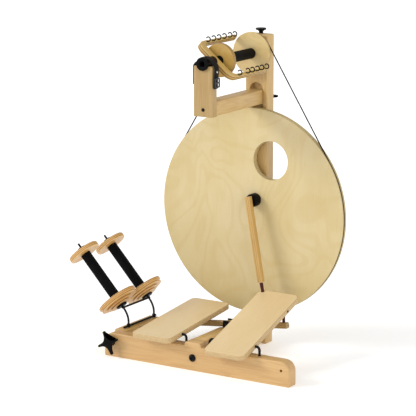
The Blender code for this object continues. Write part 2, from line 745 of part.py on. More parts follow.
def make_bush():
    """The nylon bush for the flyer shaft's rear end."""
    low = SLIDER_FRONT + GAP
    profile = [(SHAFT_R + 0.2, low + 11), (7, low + 11), (7, low), (SHAFT_R + 0.2, low)]
    return turned("rear_bush", profile, facing((FLYER_X, 0, FLYER_Z), Y_AXIS), NYLON, ring=True,
                  segments=24)


def make_clamp_plate():
    """The steel plate that the rear knob pulls against the post."""
    low = POST_HALF_Y + 0.4
    plate = box("clamp_plate", (-22, low, CLAMP_Z - 22), (22, low + 2.5, CLAMP_Z + 22), BLACK_STEEL,
                edge=0.6)
    drill(plate, SCREW_R + GAP, (0, low - 2, CLAMP_Z), Y_AXIS, 8)
    return plate


def make_star_knob(name, centre, aim, spin):
    """A four-armed knob. The centre is on the plate's face, and aim points outwards."""
    waist = 9.5
    outline = []
    for arm in range(4):
        turn = 90 * arm + spin
        tip = (STAR_TIP - STAR_TIP_R, 0)
        for x, y in arc(tip, STAR_TIP_R, -80, 80, 4) + [(waist + 6, STAR_ARM_HALF)]:
            angle = math.radians(turn)
            outline.append((x * math.cos(angle) - y * math.sin(angle),
                            x * math.sin(angle) + y * math.cos(angle)))
        middle = math.radians(turn + 45)
        outline.append((waist * math.cos(middle), waist * math.sin(middle)))
        after = math.radians(turn + 90)
        x, y = waist + 6, -STAR_ARM_HALF
        outline.append((x * math.cos(after) - y * math.sin(after),
                        x * math.sin(after) + y * math.cos(after)))
    frame = facing(centre, aim)
    knob = flat(name, outline, 8, frame @ at(0, 0, STAR_OFFSET), BLACK_PLASTIC)
    bevel(knob, 1.2)
    hub = cylinder(name + "_hub", 10, STAR_OFFSET - 2, frame, cutter=True, segments=20)
    boolean(knob, hub, "UNION")
    socket = cylinder(name + "_socket", SCREW_R + GAP, 13, frame @ at(0, 0, -1), cutter=True, segments=16)
    boolean(knob, socket, "DIFFERENCE")
    return knob


def make_screw(name, point, aim, length):
    """A plain threaded rod, drawn as a cylinder."""
    return cylinder(name, SCREW_R, length, facing(point, aim), BRIGHT_STEEL, segments=16)


def make_tension_knob():
    """The knob on top of the post that raises and lowers the head."""
    rim = TENSION_KNOB_R
    profile = [(0, 769), (rim - 4, 769), (rim - 1, 767.8), (rim, 766.2), (rim - 1, 764.6), (8, 763.2),
               (5.4, 761), (5, POST_TOP + 0.6), (SCREW_R + GAP, POST_TOP + 0.6),
               (SCREW_R + GAP, 762.3), (0, 762.3)]
    return turned("tension_knob", profile, at(0, TENSION_Y, 0), BLACK_PLASTIC, segments=28)


# ---------------------------------------------------------------- flyer

def flyer_frame():
    """A frame on the flyer axis: local X across the arms, local Y to the back."""
    turn = Matrix.Rotation(FLYER_TILT, 4, "Y")
    return at(FLYER_X, 0, FLYER_Z) @ turn


def make_tube():
    """The orifice tube, open at the front and at both sides behind the upright."""
    back = FLYER_BASE_FRONT - GAP
    lip = UPRIGHT_FRONT - 0.4
    profile = [(0, back), (TUBE_R, back), (TUBE_R, lip), (TUBE_LIP_R, lip), (TUBE_LIP_R, lip - 4.6),
               (TUBE_LIP_R - 1, lip - 5.6), (TUBE_BORE_R + 1, lip - 5.6), (TUBE_BORE_R, lip - 4.6),
               (TUBE_BORE_R, back - 5), (0, back - 5)]
    tube = turned("orifice_tube", profile, facing((FLYER_X, 0, FLYER_Z), Y_AXIS), BLACK_PLASTIC,
                  segments=32)
    cut_box(tube, (-20, back - 16, -5), (20, back - 6, 5), matrix=flyer_frame())
    return tube


def make_hook(y, side):
    """An open ring hook that stands on a flyer arm's upper face."""
    arm_x = side * (FLYER_OUTER + FLYER_INNER) / 2
    centre_z = FLYER_T / 2 + HOOK_R + 1.3
    ring = arc((arm_x, centre_z), HOOK_R, -62, 190, 9)
    path = [(arm_x, FLYER_T / 2 - 2.5), (arm_x, FLYER_T / 2 + 0.3)] + ring
    frame = flyer_frame()
    points = [(frame @ (Vector((x, y, z)) * MM)) / MM for x, z in path]
    return rod("hook_tool", points, HOOK_WIRE_R, cutter=True, resolution=1)


def make_flyer():
    """The plywood U of the flyer, with its wire hooks set into the arms."""
    outer_r = 24.0
    inner_r = 15.0
    end_r = 3.9
    mid = (FLYER_OUTER + FLYER_INNER) / 2
    tip = FLYER_ARM_END - end_r
    outline = arc((mid, tip), end_r, 0, 180, 4)
    outline += arc((FLYER_INNER - inner_r, FLYER_BASE_BACK + inner_r), inner_r, 0, -90, 5)
    outline += arc((-FLYER_INNER + inner_r, FLYER_BASE_BACK + inner_r), inner_r, 270, 180, 5)
    outline += arc((-mid, tip), end_r, 0, 180, 4)
    outline += arc((-FLYER_OUTER + outer_r, FLYER_BASE_FRONT + outer_r), outer_r, 180, 270, 6)
    outline += arc((FLYER_OUTER - outer_r, FLYER_BASE_FRONT + outer_r), outer_r, 270, 360, 6)
    flyer = flat("flyer_frame", outline, FLYER_T, flyer_frame(), PLYWOOD)
    drill(flyer, SHAFT_R + GAP, (FLYER_X, FLYER_BASE_FRONT - 2, FLYER_Z), Y_AXIS, 24)
    for side, rows in ((-1, HOOKS_UPPER), (1, HOOKS_LOWER)):
        for y in rows:
            boolean(flyer, make_hook(y, side), "UNION")
    return flyer


def make_shaft():
    """The flyer shaft, from the flyer's base to the rear bush."""
    front = FLYER_BASE_FRONT + 1
    return cylinder("flyer_shaft", SHAFT_R, 7 - front, facing((FLYER_X, front, FLYER_Z), Y_AXIS),
                    BRIGHT_STEEL)


# ---------------------------------------------------------------- bobbins

def make_bobbin(prefix, frame, wood):
    """A bobbin along local Z: the stepped whorl first, then the core and the flange."""
    bore = BOBBIN_BORE_R
    whorl = [(bore, 20), (49.5, 20), (WHORL_R, 19), (WHORL_R, 14.5), (46.2, 12.9), (46.2, 10.1),
             (48.6, 8.9), (48.6, 8.2), (34, 7.4), (34, 5.6), (37, 4.7), (37, 4.1), (24, 3.3),
             (24, 1.5), (27.5, 0.6), (27.5, 0), (bore, 0)]
    core = [(bore, CORE_END), (HUB_R, CORE_END), (HUB_R, FLANGE_START - GAP),
            (CORE_R, FLANGE_START - GAP), (CORE_R, WHORL_T + GAP), (bore, WHORL_T + GAP)]
    flange = [(HUB_R + GAP, FLANGE_END), (FLANGE_R - 1.5, FLANGE_END), (FLANGE_R, FLANGE_END - 1.5),
              (FLANGE_R, FLANGE_START + 1.5), (FLANGE_R - 1.5, FLANGE_START),
              (HUB_R + GAP, FLANGE_START)]
    return [turned(prefix + "_whorl", whorl, frame, wood, ring=True, segments=40),
            turned(prefix + "_core", core, frame, BLACK_PLASTIC, ring=True, segments=24),
            turned(prefix + "_flange", flange, frame, wood, ring=True, segments=36)]


# ---------------------------------------------------------------- brake strap

def ribbon(points, thickness):
    """The outline of a strip of even thickness that follows a centre line."""
    left = []
    right = []
    for index, point in enumerate(points):
        before = Vector(points[max(index - 1, 0)])
        after = Vector(points[min(index + 1, len(points) - 1)])
        run = (after - before).normalized()
        side = Vector((-run.y, run.x)) * thickness / 2
        left.append(tuple(Vector(point) + side))
        right.append(tuple(Vector(point) - side))
    return left + right[::-1]


def make_strap():
    """The leather brake strap: fixed at the left, over the orifice tube, loose at the right."""
    left = STRAP_LEFT
    line = [(left, 664), (left, 703), (left + 1.2, 708.5), (left + 4.6, 713)]
    line += arc((FLYER_X, FLYER_Z), TUBE_R + STRAP_T / 2 + GAP, 145, 64, 7)
    line += [(13.2, 722.9), (20.8, 718.4), (26.6, 711.6), (29.6, 702.0), (29.0, 690.0),
             (27.3, 680.0), (26.6, 656.0)]
    strap = flat("brake_strap", ribbon(line, STRAP_T), STRAP_WIDTH, xz_plane(STRAP_Y), LEATHER)
    drill(strap, PIN_R + GAP, (left - 3, STRAP_Y, STRAP_SCREW_Z), X_AXIS, 6, 12)
    return strap


def make_strap_screw():
    """The screw that holds the strap's fixed end."""
    head = STRAP_LEFT - STRAP_T / 2 - GAP
    profile = [(0, 2.0), (3.2, 1.6), (4.2, 0), (PIN_R, 0), (PIN_R, -10), (0, -10)]
    return turned("strap_screw", profile, facing((head, STRAP_Y, STRAP_SCREW_Z), -X_AXIS),
                  BLACK_STEEL, segments=16)


def make_buckle():
    """The slide buckle on the strap's free end."""
    low_x = 29.2
    half = STRAP_WIDTH / 2 + 2
    return box("strap_buckle", (low_x, STRAP_Y - half, 659), (low_x + 3, STRAP_Y + half, 682),
               BLACK_STEEL, edge=0.8)


# ---------------------------------------------------------------- bobbin rack

def kate_wire(y):
    """The path of one rack wire: up from the bar, bent over, then the spindle."""
    return [(KATE_X, y, 40), (KATE_X, y, 70), (KATE_X - 0.6, y, 80), (KATE_X - 4, y, 89),
            (KATE_BEND[0], y, KATE_BEND[1]), (KATE_TIP[0], y, KATE_TIP[1])]


def spindle_aim():
    """The direction of the rack's spindles."""
    return Vector((KATE_TIP[0] - KATE_BEND[0], 0, KATE_TIP[1] - KATE_BEND[1])).normalized()


def spindle_frame(y, along):
    """A frame on a spindle whose local Z runs up it."""
    start = Vector((KATE_BEND[0], y, KATE_BEND[1])) + spindle_aim() * along
    return facing(start, spindle_aim())


def make_kate_frame():
    """The welded wire rack: two bent spindles and two cross rods."""
    front = KATE_YS["front"]
    rear = KATE_YS["rear"]
    frame = rod("kate_frame", kate_wire(front), KATE_WIRE_R, BLACK_STEEL)
    bottom_z = KATE_BAR[5] + KATE_WIRE_R + 0.6
    bottom = [(KATE_X, front - 19, bottom_z), (KATE_X, rear + 8, bottom_z)]
    top = [(KATE_BEND[0] - 0.5, front - 4, KATE_BEND[1] + 0.4),
           (KATE_BEND[0] - 0.5, rear + 4, KATE_BEND[1] + 0.4)]
    for path in (kate_wire(rear), bottom, top):
        boolean(frame, rod("kate_tool", path, KATE_WIRE_R, cutter=True), "UNION")
    return frame


def make_kate_bar():
    """The bar behind the front board's left end that carries the rack."""
    x0, x1, y0, y1, z0, z1 = KATE_BAR
    bar = box("kate_bar", (x0, y0, z0), (x1, y1, z1), BEECH, edge=1.5)
    for y in KATE_YS.values():
        drill(bar, KATE_WIRE_R + GAP, (KATE_X, y, 39), Z_AXIS, 25)
    drill(bar, SCREW_R + GAP, (CLAMP_HOLE_X, y0 - 1, CLAMP_HOLE_Z), Y_AXIS, 36)
    return bar


def make_washer(place):
    """The washer under a stored bobbin."""
    profile = [(KATE_WIRE_R + GAP, 4), (14, 4), (14, 0), (KATE_WIRE_R + GAP, 0)]
    return turned("kate_washer_" + place, profile, spindle_frame(KATE_YS[place], 4.5), BLACK_PLASTIC,
                  ring=True, segments=24)


# ---------------------------------------------------------------- assembly

def build():
    """Make every part, and hang the moving ones on their joints' axes."""
    make_front_board()
    make_beam()
    make_bolt("board_bolt", (0, BOARD_FRONT - GAP, BOARD_BOLT_Z), Y_AXIS, 70)
    make_bolt("post_bolt", (0, POST_HALF_Y + GAP, POST_BOLT_Z), -Y_AXIS, 72)
    make_post()
    make_bearing("bearing_front", -POST_HALF_Y + GAP)
    make_bearing("bearing_rear", POST_HALF_Y - BEARING_LENGTH)
    make_belt()
    wheel = [make_wheel(), make_axle(), make_collar(), make_crank_boss()]
    pivot("wheel_pivot", (0, 0, WHEEL_Z), wheel)

    for side in ("left", "right"):
        make_hinge_rod(side)
        moving = [make_treadle(side), make_link_pin(side)]
        if side == "right":
            moving.append(make_joint())
        pivot("treadle_pivot_" + side, (TREADLE_X[side], HINGE_Y, HINGE_Z), moving)
        link = make_link(side)
        pivot("link_pivot_" + side, (link.location.x / MM, ROCKER_Y, link.location.z / MM), [link])
    make_bracket()
    make_rocker_pivot()
    pivot("rocker_axis", (0, ROCKER_Y, ROCKER_Z), [make_rocker()])
    bend = (Vector(CONROD_FOOT) + Vector(JOINT_ENTRY)) / 2
    pivot("conrod_pivot", bend, [make_conrod(), make_crank_pin()])

    make_arm()
    make_upright()
    make_upright_bolt()
    make_slider()
    make_bush()
    make_clamp_plate()
    make_strap()
    make_strap_screw()
    make_buckle()
    plate_y = POST_HALF_Y + 3.4
    clamp = [make_star_knob("clamp_knob", (0, plate_y, CLAMP_Z), Y_AXIS, -8),
             make_screw("clamp_screw", (0, plate_y + 11, CLAMP_Z), -Y_AXIS, 56)]
    pivot("clamp_axis", (0, plate_y, CLAMP_Z), clamp)
    face = BOARD_FRONT - 0.4
    storage = [make_star_knob("kate_knob", (CLAMP_HOLE_X, face, CLAMP_HOLE_Z), -Y_AXIS, 23),
               make_screw("kate_screw", (CLAMP_HOLE_X, face - 11, CLAMP_HOLE_Z), Y_AXIS, 76)]
    pivot("kate_knob_axis", (CLAMP_HOLE_X, face, CLAMP_HOLE_Z), storage)
    tension = [make_tension_knob(),
               make_screw("tension_screw", (0, TENSION_Y, SLIDER_TOP - 11), Z_AXIS, 33)]
    pivot("tension_axis", (0, TENSION_Y, POST_TOP), tension)

    pivot("flyer_axis", (FLYER_X, 0, FLYER_Z), [make_tube(), make_flyer(), make_shaft()])
    on_flyer = facing((FLYER_X, WHORL_BACK_Y, FLYER_Z), -Y_AXIS)
    pivot("bobbin_axis", (FLYER_X, 0, FLYER_Z), make_bobbin("bobbin", on_flyer, BOBBIN_WOOD))

    make_kate_bar()
    make_kate_frame()
    for place, y in KATE_YS.items():
        make_washer(place)
        frame = spindle_frame(y, 9.0)
        stored = make_bobbin("kate_bobbin_" + place, frame, BOBBIN_WOOD)
        pivot("kate_axis_" + place, frame.translation / MM, stored)


build()
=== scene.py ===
"""The looks of the spinning wheel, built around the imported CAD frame.

Sizes below are millimetres and are scaled by MM. X runs to the spinner's right, Y to
the back and Z is up. The origin is on the floor, in the middle of the post's foot.
"""
import math

import bmesh
import bpy
from mathutils import Matrix, Vector


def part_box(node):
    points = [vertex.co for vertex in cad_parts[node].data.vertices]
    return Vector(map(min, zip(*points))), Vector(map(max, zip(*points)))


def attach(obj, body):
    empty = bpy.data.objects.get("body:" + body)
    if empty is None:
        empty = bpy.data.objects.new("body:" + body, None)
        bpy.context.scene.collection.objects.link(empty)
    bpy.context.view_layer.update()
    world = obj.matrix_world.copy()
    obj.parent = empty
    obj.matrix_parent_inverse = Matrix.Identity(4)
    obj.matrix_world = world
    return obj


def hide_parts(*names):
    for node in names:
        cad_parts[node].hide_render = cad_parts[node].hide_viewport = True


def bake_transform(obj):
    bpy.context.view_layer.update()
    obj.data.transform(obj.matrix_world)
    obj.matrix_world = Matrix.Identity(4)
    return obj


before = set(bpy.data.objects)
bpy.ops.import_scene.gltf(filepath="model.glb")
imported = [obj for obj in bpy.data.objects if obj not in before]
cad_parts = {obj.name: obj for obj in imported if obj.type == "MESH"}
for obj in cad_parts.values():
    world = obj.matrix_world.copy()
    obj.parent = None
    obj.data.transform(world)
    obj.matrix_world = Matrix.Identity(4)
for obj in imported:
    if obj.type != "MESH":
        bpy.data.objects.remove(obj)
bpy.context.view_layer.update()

MM = 0.001
X_AXIS = Vector((1, 0, 0))
Y_AXIS = Vector((0, 1, 0))
Z_AXIS = Vector((0, 0, 1))
scene = bpy.context.scene

PIN_BORE_R = 3.3
POST_HALF_X = 30.0
POST_HALF_Y = 16.0
BOARD_FRONT = -303.0
BEAM_FRONT = -268.7
BEAM_BACK = -16.3
RACK_X = -222.0
RACK_SPINDLE = (-236.5, 104.5)
RACK_Y = {"front": -237.5, "rear": -127.5}
RACK_WIRE_R = 2.5
WHEEL_Z = 333.0
WHEEL_R = 250.0
WHEEL_T = 16.0
WHEEL_FRONT = -37.5
GROOVE_R = 246.4
GRIP_HOLE_R = 47.0
GRIP_HOLE_REACH = 137.6
BELT_Y = -29.5
BELT_WHEEL_R = 248.4
BELT_WHORL_R = 48.1
BELT_RADIUS = 1.5
CRANK_ANGLE = math.radians(67.4)
CRANK_THROW = 31.5
CONROD_FOOT = Vector((57, -85.5, 174))
JOINT_ENTRY = Vector((62, -85.5, 151))
FLYER_X = -1.5
FLYER_Z = 713.0
FLYER_TILT = math.radians(39.5)
HOOK_RING_R = 5.4
HOOK_WIRE_R = 1.4
HOOK_ROWS = {-1: (-173.5, -149.5, -126.5, -102.5, -77.5, -55.5),
             1: (-174.5, -138.5, -118.0, -95.5, -75.0, -52.5)}
BOBBIN_BORE_R = 4.8
HINGE_Y = -284.5
HINGE_Z = 78.9
HINGE_ROD_LEGS = {"left": (-158, -27), "right": (37, 171)}
TREADLE_X = {"left": -92.0, "right": 106.0}
TREADLE_TILT = {"left": math.radians(5.4), "right": math.radians(18.5)}
TREADLE_T = 13.0
LINK_INSET = 43.8
LINK_POCKET = {"left": (-8, 15), "right": (-15, 8)}
ROCKER_Y = -137.5
ROCKER_Z = 76.0
ROCKER_TILT = math.radians(6.5)
STRAP_Y = -241.5

LENS = 175.81
LENS_SHIFT = (-0.0026, -0.0018)
EYE = (2.4404, -4.1334, 1.3546)
EYE_TURN = math.radians(32.0)
EYE_DROP = math.radians(12.0)


# ---------------------------------------------------------------- node materials

class Graph:
    """A small helper that adds shader nodes and links them."""

    def __init__(self, name):
        self.material = bpy.data.materials.new(name)
        self.material.use_nodes = True
        self.tree = self.material.node_tree
        self.shader = self.tree.nodes["Principled BSDF"]
        self.coords = self.tree.nodes.new("ShaderNodeTexCoord")

    def add(self, kind, inputs=None, **settings):
        """A node with its settings, and values or links for its inputs."""
        node = self.tree.nodes.new(kind)
        for key, value in settings.items():
            setattr(node, key, value)
        for key, value in (inputs or {}).items():
            if isinstance(value, bpy.types.NodeSocket):
                self.tree.links.new(value, node.inputs[key])
            else:
                node.inputs[key].default_value = value
        return node

    def math(self, operation, first, second=0.0, third=0.0):
        """One sum."""
        node = self.add("ShaderNodeMath", {0: first, 1: second, 2: third}, operation=operation)
        return node.outputs[0]

    def stretched(self, scale, offset=(0, 0, 0), source=None):
        """Object coordinates, moved and scaled."""
        node = self.add("ShaderNodeMapping", {"Vector": source or self.coords.outputs["Object"],
                                              "Location": offset, "Scale": scale})
        return node.outputs[0]

    def noise(self, vector, scale=1.0, detail=3.0, roughness=0.55, distortion=0.0):
        """A noise value from 0 to 1."""
        node = self.add("ShaderNodeTexNoise", {"Vector": vector, "Scale": scale, "Detail": detail,
                                               "Roughness": roughness, "Distortion": distortion})
        return node.outputs[0]

    def ramp(self, value, low, high, start=0.0, end=1.0, smooth=True):
        """A value mapped from one range to another, and held inside it."""
        kind = "SMOOTHSTEP" if smooth else "LINEAR"
        node = self.add("ShaderNodeMapRange", {"Value": value, "From Min": low, "From Max": high,
                                               "To Min": start, "To Max": end},
                        interpolation_type=kind)
        return node.outputs[0]

    def mix(self, factor, first, second):
        """Two colours mixed."""
        node = self.add("ShaderNodeMix", data_type="RGBA")
        for index, value in ((0, factor), (6, first), (7, second)):
            if isinstance(value, bpy.types.NodeSocket):
                self.tree.links.new(value, node.inputs[index])
            elif index:
                node.inputs[index].default_value = (*value, 1.0)
            else:
                node.inputs[index].default_value = value
        return node.outputs[2]

    def finish(self, color, roughness, bump=None, strength=0.1, distance=0.0003, **values):
        """Colour, roughness and bump into the shader, and constants on its sockets."""
        for socket, value in (("Base Color", color), ("Roughness", roughness)):
            if isinstance(value, bpy.types.NodeSocket):
                self.tree.links.new(value, self.shader.inputs[socket])
            elif isinstance(value, tuple):
                self.shader.inputs[socket].default_value = (*value, 1.0)
            else:
                self.shader.inputs[socket].default_value = value
        if bump is not None:
            node = self.add("ShaderNodeBump", {"Height": bump, "Strength": strength,
                                               "Distance": distance})
            self.tree.links.new(node.outputs[0], self.shader.inputs["Normal"])
        for key, value in values.items():
            self.shader.inputs[key.replace("_", " ")].default_value = value
        return self.material


def along(axis, length, across):
    """A scale vector that is different along the grain and across it."""
    return tuple(length if name == axis else across for name in "XYZ")


def grain(g, axis, seed):
    """Fine streaks, soft growth bands and short flecks along one axis."""
    offset = (seed * 3.7, seed * 1.9, seed * 5.3)
    warp = g.noise(g.stretched(along(axis, 5, 30), offset), detail=2)
    streaks = g.noise(g.stretched(along(axis, 14, 520), offset), detail=4, roughness=0.6)
    slow = g.noise(g.stretched(along(axis, 2.2, 26), offset), detail=2, distortion=0.4)
    rings = g.math("SINE", g.math("MULTIPLY", g.math("ADD", slow, g.math("MULTIPLY", warp, 0.12)), 70.0))
    bands = g.ramp(rings, -0.2, 1.0)
    flecks = g.ramp(g.noise(g.stretched(along(axis, 260, 1500), offset), detail=1), 0.66, 0.78)
    return streaks, bands, flecks, slow


def solid_wood(name, axis, seed, light, mid, dark, roughness=0.42):
    """Lacquered solid wood with its grain along an axis of the piece."""
    g = Graph(name)
    streaks, bands, flecks, slow = grain(g, axis, seed)
    color = g.mix(g.ramp(slow, 0.3, 0.7), light, mid)
    color = g.mix(g.math("MULTIPLY", bands, 0.20), color, dark)
    color = g.mix(g.ramp(streaks, 0.45, 0.8, 0.0, 0.45), color, dark)
    color = g.mix(g.math("MULTIPLY", flecks, 0.30), color, tuple(c * 0.6 for c in dark))
    rough = g.ramp(streaks, 0.2, 0.8, roughness - 0.05, roughness + 0.08, smooth=False)
    height = g.math("ADD", streaks, g.math("MULTIPLY", flecks, -0.6))
    return g.finish(color, rough, height, 0.22, 0.00025, Coat_Weight=0.18, Coat_Roughness=0.28)


def plywood(name, axis, thickness, seed, light, mid, dark, figure="Y", glue=(0.10, 0.045, 0.015),
            ply=1.3, middle=0.0, spread=1.0, swirl=0.13):
    """Plywood: rotary-cut veneer on the faces, and its plies along the cut edges.

    axis is the one the plies are stacked along, as a number, and figure the one the grain
    follows. ply is the thickness of one ply and middle the height of the sheet's middle.
    spread makes the figure finer and swirl makes it stronger.
    """
    g = Graph(name)
    offset = (seed * 2.3, seed * 4.1, seed * 1.7)
    place = g.coords.outputs["Object"]
    wander = g.noise(g.stretched(along(figure, 4.0 * spread, 5.2 * spread), offset), detail=1.2,
                     roughness=0.35, distortion=1.3)
    rings = g.math("SINE", g.math("MULTIPLY", wander, 62.0))
    figure_mask = g.ramp(rings, 0.0, 1.0)
    cloud = g.noise(g.stretched(along(figure, 5, 9), offset), detail=3)
    fibres = g.noise(g.stretched(along(figure, 22, 620), offset), detail=4, roughness=0.6)
    pores = g.ramp(g.noise(g.stretched(along(figure, 150, 1300), offset), detail=1), 0.64, 0.78)
    face = g.mix(g.ramp(cloud, 0.32, 0.68), light, mid)
    face = g.mix(g.math("MULTIPLY", figure_mask, swirl), face, dark)
    face = g.mix(g.ramp(fibres, 0.48, 0.82, 0.0, 0.26), face, dark)
    face = g.mix(g.math("MULTIPLY", pores, 0.16), face, tuple(c * 0.5 for c in dark))
    split = g.add("ShaderNodeSeparateXYZ", {0: place})
    depth = split.outputs[axis]
    layer = g.math("DIVIDE", g.math("SUBTRACT", depth, (middle - thickness / 2) * MM), ply * MM)
    sway = g.noise(g.stretched((40, 40, 40), offset), detail=2)
    layer = g.math("ADD", layer, g.math("MULTIPLY", g.math("SUBTRACT", sway, 0.5), 0.22))
    part_of = g.math("FRACT", layer)
    line = g.ramp(g.math("ABSOLUTE", g.math("SUBTRACT", part_of, 0.5)), 0.36, 0.48)
    turn = g.math("FLOORED_MODULO", g.math("FLOOR", layer), 2.0)
    end_grain = g.noise(g.stretched((700, 700, 700), offset), detail=2)
    long_ply = g.mix(g.ramp(end_grain, 0.3, 0.7), light, mid)
    end_ply = g.mix(g.ramp(end_grain, 0.3, 0.7), dark, tuple(c * 0.72 for c in dark))
    edge = g.mix(turn, long_ply, end_ply)
    edge = g.mix(g.math("MULTIPLY", line, 0.85), edge, glue)
    normal = g.add("ShaderNodeSeparateXYZ", {0: g.coords.outputs["Normal"]})
    on_face = g.ramp(g.math("ABSOLUTE", normal.outputs[axis]), 0.72, 0.92)
    color = g.mix(on_face, edge, face)
    rough = g.ramp(on_face, 0.0, 1.0, 0.58, 0.40, smooth=False)
    height = g.math("ADD", fibres, g.math("MULTIPLY", line, -0.5))
    return g.finish(color, rough, height, 0.18, 0.00022, Coat_Weight=0.15, Coat_Roughness=0.3)


def plain(name, color, roughness, metallic=0.0, bump_scale=900.0, strength=0.12, spread=0.06,
          distance=0.0002, stretch=None, **values):
    """Moulded or coated stuff: a colour with slight mottling, and a fine-grained surface."""
    g = Graph(name)
    fine = g.noise(g.stretched(stretch or (bump_scale,) * 3), detail=3)
    slow = g.noise(g.stretched((45, 45, 45)), detail=3)
    lighter = tuple(min(1.0, c * 1.5 + 0.001) for c in color)
    tint = g.mix(g.ramp(slow, 0.35, 0.75, 0.0, 0.6), color, lighter)
    rough = g.ramp(g.math("ADD", g.math("MULTIPLY", slow, 0.6), g.math("MULTIPLY", fine, 0.4)), 0.3, 0.7,
                   roughness - spread, roughness + spread, smooth=False)
    return g.finish(tint, rough, fine, strength, distance, Metallic=metallic, **values)


def leather_look(name):
    """Black leather: a fine pebble, with painted shade darkening its creases."""
    g = Graph(name)
    cells = g.add("ShaderNodeTexVoronoi", {"Vector": g.stretched((1, 1, 1)), "Scale": 1100.0},
                  feature="DISTANCE_TO_EDGE")
    fine = g.noise(g.stretched((2500, 2500, 2500)), detail=3)
    height = g.math("ADD", g.ramp(cells.outputs[0], 0.0, 0.35), g.math("MULTIPLY", fine, 0.4))
    # The colour is darkest low in the creases: this is painted shade.
    color = g.mix(g.ramp(height, 0.1, 1.1), (0.004, 0.0035, 0.0035), (0.014, 0.012, 0.011))
    rough = g.ramp(height, 0.1, 1.2, 0.68, 0.46, smooth=False)
    return g.finish(color, rough, height, 0.4, 0.0002, Specular_IOR_Level=0.10)


BEECH_LIGHT = (0.60, 0.40, 0.155)
BEECH_MID = (0.53, 0.335, 0.112)
BEECH_DARK = (0.38, 0.195, 0.05)


def beech(name, axis, seed, shade=1.0):
    """The frame's solid wood. A shade under 1 makes a darker piece; the rocker's 0.62 is painted shade.
    """
    tones = [tuple(value * shade for value in tone) for tone in (BEECH_LIGHT, BEECH_MID, BEECH_DARK)]
    return solid_wood(name, axis, seed, *tones)


BLACK_PLASTIC = plain("black_plastic", (0.003, 0.003, 0.0034), 0.36, Specular_IOR_Level=0.05)
BLACK_STEEL = plain("black_steel", (0.005, 0.005, 0.0055), 0.38, bump_scale=420.0, strength=0.2,
                    Specular_IOR_Level=0.10)
BRIGHT_STEEL = plain("bright_steel", (0.52, 0.52, 0.53), 0.28, metallic=1.0, stretch=(60, 1500, 1500),
                     strength=0.08)
NYLON = plain("nylon", (0.70, 0.69, 0.64), 0.42)
MAROON = plain("maroon_joint", (0.055, 0.006, 0.005), 0.34, Specular_IOR_Level=0.15)
BELT = plain("belt", (0.0035, 0.0035, 0.0035), 0.6, bump_scale=1500.0, Specular_IOR_Level=0.04)
LEATHER = leather_look("leather")
BUCKLE = plain("buckle", (0.03, 0.03, 0.032), 0.30, metallic=0.7)
HOOK_WIRE = plain("hook_wire", (0.0025, 0.0025, 0.0025), 0.4, Specular_IOR_Level=0.04)


# ---------------------------------------------------------------- mesh tools

def at(x, y, z):
    """A translation in millimetres."""
    return Matrix.Translation(Vector((x, y, z)) * MM)


def facing(point, direction):
    """A frame at a point whose local Z looks along a direction."""
    turn = Z_AXIS.rotation_difference(Vector(direction).normalized())
    return at(*point) @ turn.to_matrix().to_4x4()


def xz_plane(y):
    """A frame whose local X and Y are the world's X and Z, at a depth y."""
    columns = Matrix(((1, 0, 0, 0), (0, 0, -1, 0), (0, 1, 0, 0), (0, 0, 0, 1)))
    return at(0, y, 0) @ columns


def yz_plane(x):
    """A frame whose local X and Y are the world's Y and Z, at x."""
    columns = Matrix(((0, 0, 1, 0), (1, 0, 0, 0), (0, 1, 0, 0), (0, 0, 0, 1)))
    return at(x, 0, 0) @ columns


def arc(centre, radius, start, end, count):
    """Points on an arc between two angles in degrees."""
    points = []
    for step in range(count + 1):
        angle = math.radians(start + (end - start) * step / count)
        points.append((centre[0] + radius * math.cos(angle), centre[1] + radius * math.sin(angle)))
    return points


def corner_curve(start, corner, stop, steps):
    """Points on the curve that rounds a corner."""
    points = []
    for step in range(steps + 1):
        t = step / steps
        points.append(tuple(start * (1 - t) ** 2 + corner * 2 * t * (1 - t) + stop * t * t))
    return points


def soften(points, radius, steps=3, closed=True):
    """An outline or profile with its corners rounded."""
    result = []
    count = len(points)
    for index in range(count):
        here = Vector(points[index])
        if not closed and index in (0, count - 1):
            result.append(tuple(here))
            continue
        before = Vector(points[index - 1])
        after = Vector(points[(index + 1) % count])
        come = before - here
        leave = after - here
        reach = min(radius, come.length * 0.45, leave.length * 0.45)
        if reach < 0.02 or come.angle(leave, math.pi) > math.radians(165):
            result.append(tuple(here))
            continue
        start = here + come.normalized() * reach
        stop = here + leave.normalized() * reach
        result += corner_curve(start, here, stop, steps)
    return result


def make_object(name, mesh, matrix):
    """An object in the scene, placed by a matrix."""
    obj = bpy.data.objects.new(name, mesh)
    scene.collection.objects.link(obj)
    obj.matrix_world = matrix
    return obj


def from_bmesh(name, bm, matrix):
    """A bmesh in millimetres as an object."""
    bmesh.ops.recalc_face_normals(bm, faces=bm.faces)
    bmesh.ops.scale(bm, vec=(MM, MM, MM), verts=bm.verts)
    mesh = bpy.data.meshes.new(name)
    bm.to_mesh(mesh)
    bm.free()
    return make_object(name, mesh, matrix)


def baked(obj):
    """Apply an object's modifiers."""
    bpy.context.view_layer.update()
    seen = obj.evaluated_get(bpy.context.evaluated_depsgraph_get())
    mesh = bpy.data.meshes.new_from_object(seen)
    obj.modifiers.clear()
    obj.data = mesh
    return obj


def bevel(obj, width, segments=3, angle=35):
    """Round the edges sharper than an angle."""
    modifier = obj.modifiers.new("rounded", "BEVEL")
    modifier.width = width * MM
    modifier.segments = segments
    modifier.limit_method = "ANGLE"
    modifier.angle_limit = math.radians(angle)
    modifier.use_clamp_overlap = True
    return baked(obj)


def smooth(obj, angle=35):
    """Smooth shading with crisp edges above an angle."""
    obj.data.shade_smooth()
    obj.data.set_sharp_from_angle(angle=math.radians(angle))
    return obj


def cut(obj, tool):
    """Cut a tool out of an object, and remove the tool."""
    modifier = obj.modifiers.new("cut", "BOOLEAN")
    modifier.operation = "DIFFERENCE"
    modifier.solver = "EXACT"
    modifier.object = tool
    baked(obj)
    bpy.data.objects.remove(tool, do_unlink=True)
    return obj


